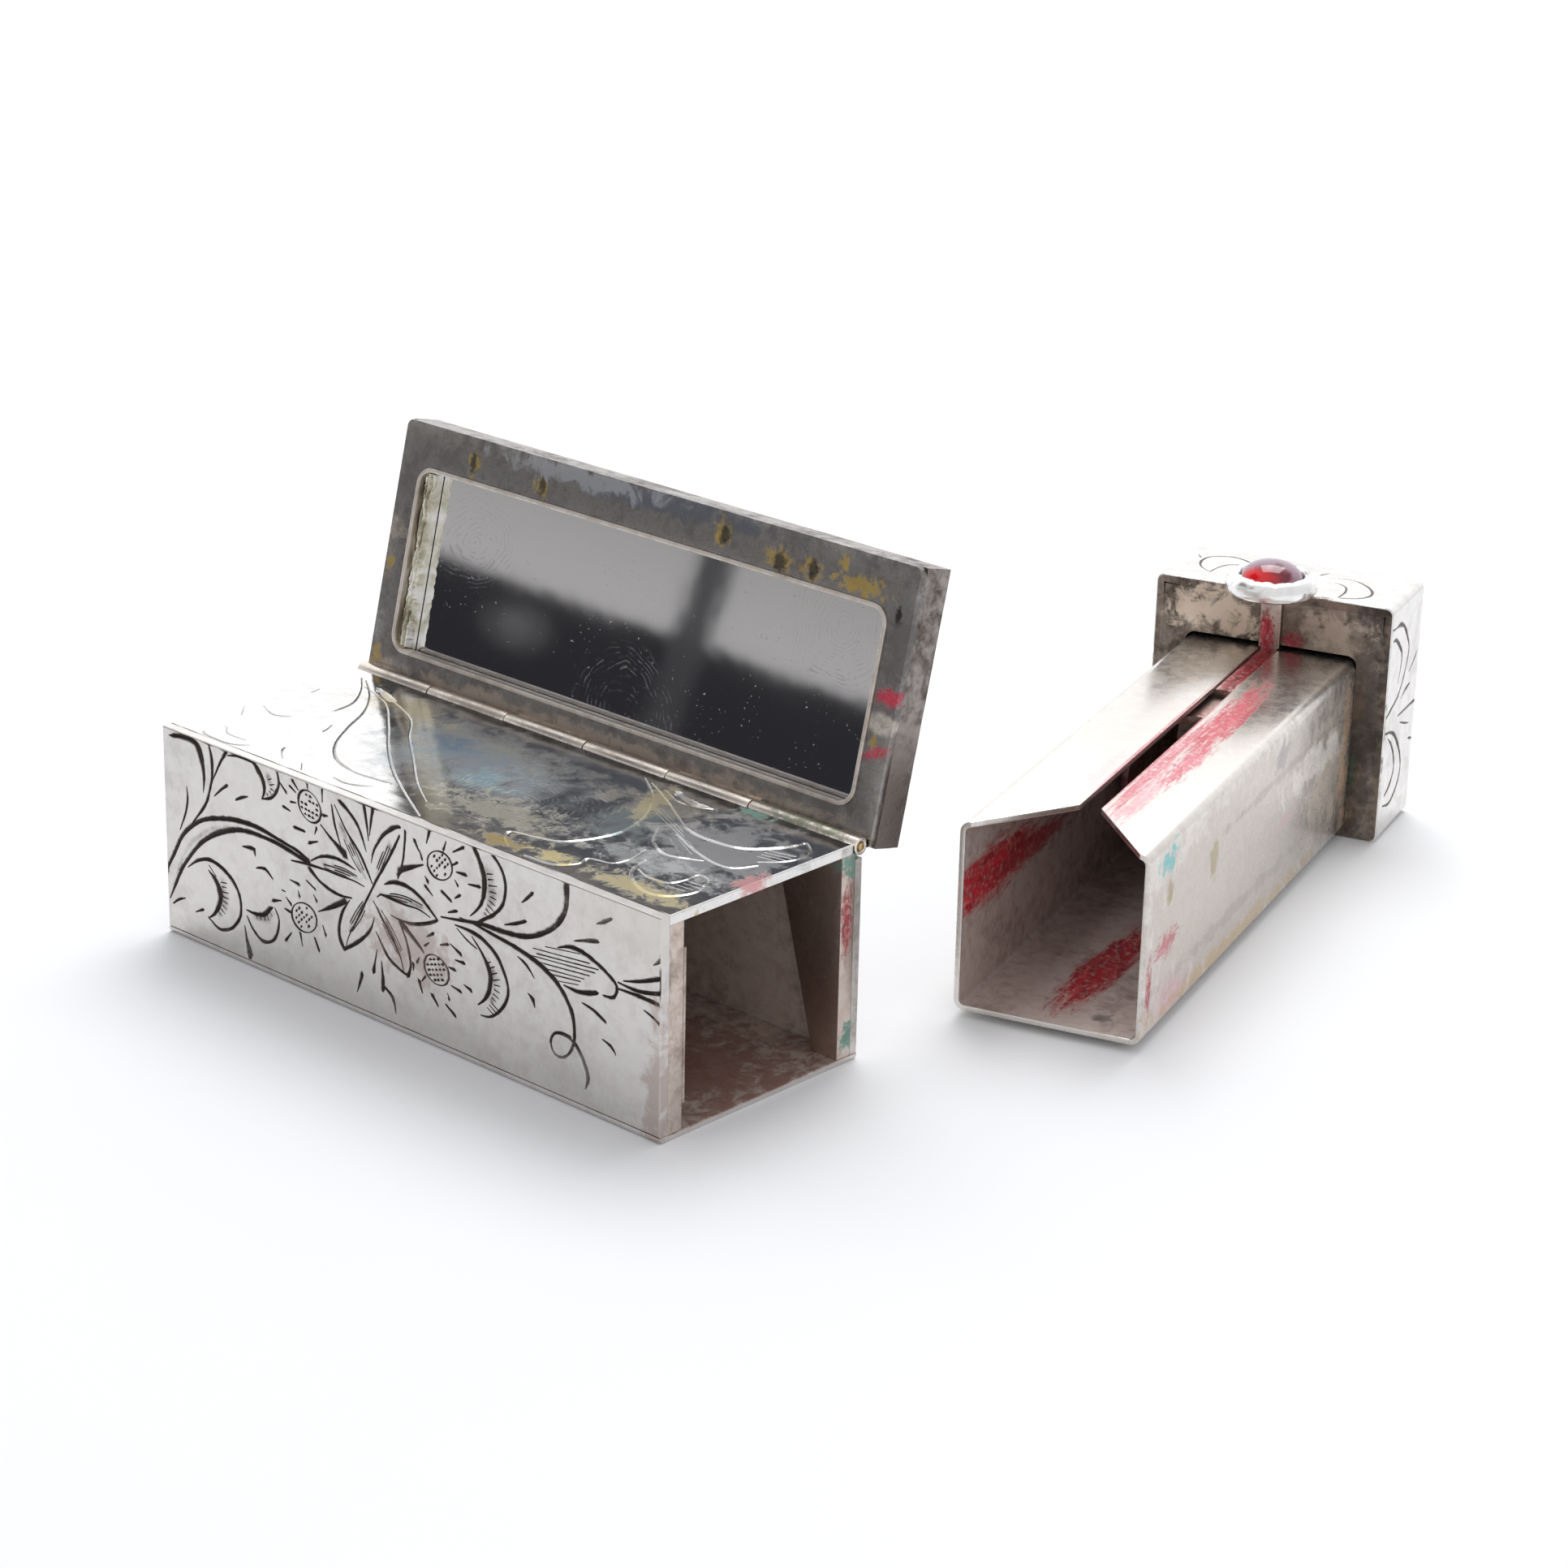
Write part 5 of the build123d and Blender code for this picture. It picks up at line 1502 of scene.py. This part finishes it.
def add_slider():
    strip = silver(
        "strip_silver", tone=(0.66, 0.58, 0.52), warm=(0.40, 0.28, 0.22), patina=0.5, rough=0.3,
        grain=(1, 1, 4), marks=(
            unit_smear(
                44, 0, 15.8, (9, 1.2, 0.8), 1.0, 2, 1.6, (0.10, 0.002, 0.008), (0.42, 0.012, 0.03),
            ),
            unit_smear(
                49.5, 0.3, 17.4, (1.2, 0.9, 2.2), 1.0, 8, 3.0, (0.24, 0.004, 0.015), (0.62, 0.06, 0.09),
            ),
        ),
    )
    rim = silver(
        "bezel_silver", tone=(0.93, 0.92, 0.91), warm=(0.84, 0.81, 0.78), patina=0.12, rough=0.2,
        vary=0.2, bump=0.6, metal=0.85, speck=0.1, grain=(2, 2, 2),
    )
    cup = silver(
        "cup_silver", tone=(0.42, 0.34, 0.30), warm=(0.28, 0.17, 0.14), patina=0.6, rough=0.4,
        marks=(unit_smear(34, 0, 8, (6, 8, 8), 0.8, 2, 1.6),),
    )
    wear("slider_strip", strip, "slider", "tarnished_silver", 0.07)
    for name in ("refill_cup", "cup_front_guide", "cup_rear_guide"):
        wear(name, cup, "slider", "tarnished_silver", 0.06)
    centre = unit_point(49.0, 0, 0)
    profile = [
        (0, 21.17, 0), (3.2, 21.17, 0), (3.62, 21.24, 0.1), (3.82, 21.42, 0.3), (3.89, 21.75, 0.5),
        (3.88, 22.05, 0.7),
        (3.8, 22.35, 0.9), (3.63, 22.62, 1.1), (3.4, 22.82, 1.3), (3.15, 22.92, 1.4), (2.95, 22.92, 1.2),
        (2.82, 22.82, 0.9),
        (2.73, 22.64, 0.4), (2.68, 22.4, 0), (2.67, 22.1, 0), (0, 22.1, 0),
    ]
    bezel = lathe("bezel_rim", profile, centre, rim, turns=120, wobble=0.34)
    claim(bezel, "slider_bezel", "slider")
    # The stone: radius, height of its foot and girdle above the floor, and rise of its dome.
    wide, foot, girdle, rise = 2.6, 21.7, 22.4, 1.58
    dome = [(0, foot, 0), (wide, foot, 0), (wide, girdle, 0)]
    for i in range(1, 19):
        angle = math.radians(5 * i)
        dome.append((wide * math.cos(angle), girdle + rise * math.sin(angle), 0))
    stone = lathe("cabochon_dome", dome, centre, red_stone())
    claim(stone, "slider_cabochon", "slider")


# ---------------------------------------------------------------- stage

def add_camera():
    data = bpy.data.cameras.new("camera")
    data.lens = 91.25
    data.sensor_width = 36
    data.clip_start = 0.01
    data.clip_end = 20
    cam = added("camera", data)
    azimuth, elevation, roll = math.radians(42.13), math.radians(20.82), math.radians(1.375)
    back = Vector((
        math.sin(azimuth) * math.cos(elevation),
        -math.cos(azimuth) * math.cos(elevation),
        math.sin(elevation),
    ))
    right = Vector((0, 0, 1)).cross(back).normalized()
    up = back.cross(right)
    across = right * math.cos(roll) + up * math.sin(roll)
    above = up * math.cos(roll) - right * math.sin(roll)
    cam.location = (Vector((-15.45, 48.82, 0)) + back * 349.03) * MM
    cam.rotation_mode = "QUATERNION"
    cam.rotation_quaternion = Matrix((across, above, back)).transposed().to_quaternion()
    bpy.context.scene.camera = cam


def stage_plane(name, corners, mat, matrix=None):
    """A flat card. Only the floor is seen by the camera; the others only light and reflect."""
    mesh = bpy.data.meshes.new(name)
    mesh.from_pydata([Vector(c) * MM for c in corners], [], [tuple(range(len(corners)))])
    mesh.materials.append(mat)
    obj = added(name, mesh)
    if matrix:
        obj.matrix_world = matrix
    obj.visible_camera = name == "floor"


def add_stage():
    mat, t = new_tree("floor_paper")
    vec = coords(t)
    tone = mix(t, noise(t, vec, 0.01, 3), (0.80, 0.805, 0.825), (0.83, 0.832, 0.845))
    bump = node(
        t, "ShaderNodeBump", {"Strength": 0.04, "Distance": 0.0001, "Height": noise(t, vec, 1.2, 6)},
    )
    output(t, Base_Color=tone, Roughness=0.7, Normal=bump)
    stage_plane(
        "floor", ((-420, -460, 0), (1500, -460, 0), (1500, 2500, 0), (-1500, 2500, 0), (-1500, 300, 0)),
        mat,
    )

    # A card far to the front left: pale above, dark below, with a dark upright. The lid's mirror sees it.
    card, t = new_tree("window_card")
    x = node(t, "ShaderNodeSeparateXYZ", {0: place(t)})
    z = x.node.outputs[2]
    soft = times(t, centred(t, noise(t, coords(t), 0.03, 2)), 0.004)
    above = level(t, plus(t, z, soft), 0.0415, 0.0455)
    post = times(t, level(t, x, -0.0145, -0.0105), level(t, x, -0.0015, -0.0055))
    low = mix(t, times(t, post, 0.8), (0.024, 0.024, 0.028), (0.06, 0.06, 0.065))
    reach = spot(t, (-51, 0, 33), (13, 40, 9))[1]
    low = mix(t, times(t, level(t, reach, 1.0, 0.0), 0.6), low, (0.16, 0.16, 0.165))
    high = mix(
        t, post, ramp(t, level(t, z, 0.04, 0.09), ((0, (0.43, 0.42, 0.415)), (1, (0.30, 0.295, 0.29)))),
        (0.055, 0.055, 0.06),
    )
    glow = node(t, "ShaderNodeEmission", {0: mix(t, above, low, high), 1: 1.0})
    node(t, "ShaderNodeOutputMaterial", {0: glow})
    away = Vector((-0.627, -0.778, 0)).normalized()
    side = Vector((0.778, -0.627, 0)).normalized()
    spot_at = (Vector((-15, 15, 0)) + away * 700) * MM
    matrix = Matrix.Translation(spot_at) @ Matrix((side, -away, Vector((0, 0, 1)))).transposed().to_4x4()
    dim, t = new_tree("dim_card")
    output(
        t, Base_Color=mix(t, noise(t, coords(t), 0.004, 2), (0.05, 0.055, 0.065), (0.09, 0.095, 0.11)),
        Roughness=0.9,
    )
    up = Vector((-0.627, -0.456, 0.631)).normalized()
    over = up.cross(Vector((0, 0, 1))).normalized()
    middle = (Vector((0, 5, 20)) + up * 520) * MM
    tilt = Matrix.Translation(middle) @ Matrix((over, up.cross(over), up)).transposed().to_4x4()
    stage_plane(
        "dim_ceiling", ((-170, -150, 0), (170, -150, 0), (170, 150, 0), (-170, 150, 0)), dim, tilt,
    )
    stage_plane("window", ((-170, 0, -1), (150, 0, -1), (150, 0, 130), (-170, 0, 130)), card, matrix)


def area(name, where, aim, size, power):
    """A rectangular lamp at a point, aimed at another, in mm."""
    data = bpy.data.lights.new(name, "AREA")
    data.shape = "RECTANGLE"
    data.size, data.size_y = size[0] * MM, size[1] * MM
    data.energy = power
    obj = added(name, data)
    obj.location = Vector(where) * MM
    obj.rotation_mode = "QUATERNION"
    obj.rotation_quaternion = (Vector(aim) - Vector(where)).normalized().to_track_quat("-Z", "Y")


def add_light():
    """A white surround, brighter to the back left, and one soft lamp overhead."""
    world = bpy.data.worlds.new("studio")
    bpy.context.scene.world = world
    world.use_nodes = True
    t = world.node_tree
    t.nodes.clear()
    facing = node(t, "ShaderNodeTexCoord", out="Generated")
    toward = node(
        t, "ShaderNodeVectorMath", {0: facing, 1: (-0.66, 0.73, 0.18)}, out=1, operation="DOT_PRODUCT",
    )
    strength = node(t, "ShaderNodeMapRange", {0: toward, 1: 0.2, 2: 0.9, 3: 0.80, 4: 1.35})
    sky = node(t, "ShaderNodeBackground", {0: (0.975, 0.985, 1.0, 1), 1: strength})
    node(t, "ShaderNodeOutputWorld", {0: sky})
    area("soft_top", (-120, 260, 520), (10, 20, 0), (360, 360), 1.8)


def claim(piece, name, body):
    """Lets a detailed piece stand for a CAD node and ride on its body."""
    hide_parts(name)
    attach(piece, body)


add_camera()
add_stage()
add_light()
add_sheath()
add_hinge()
add_lid()
add_tube()
add_slider()
bpy.context.scene.view_settings.view_transform = "Standard"
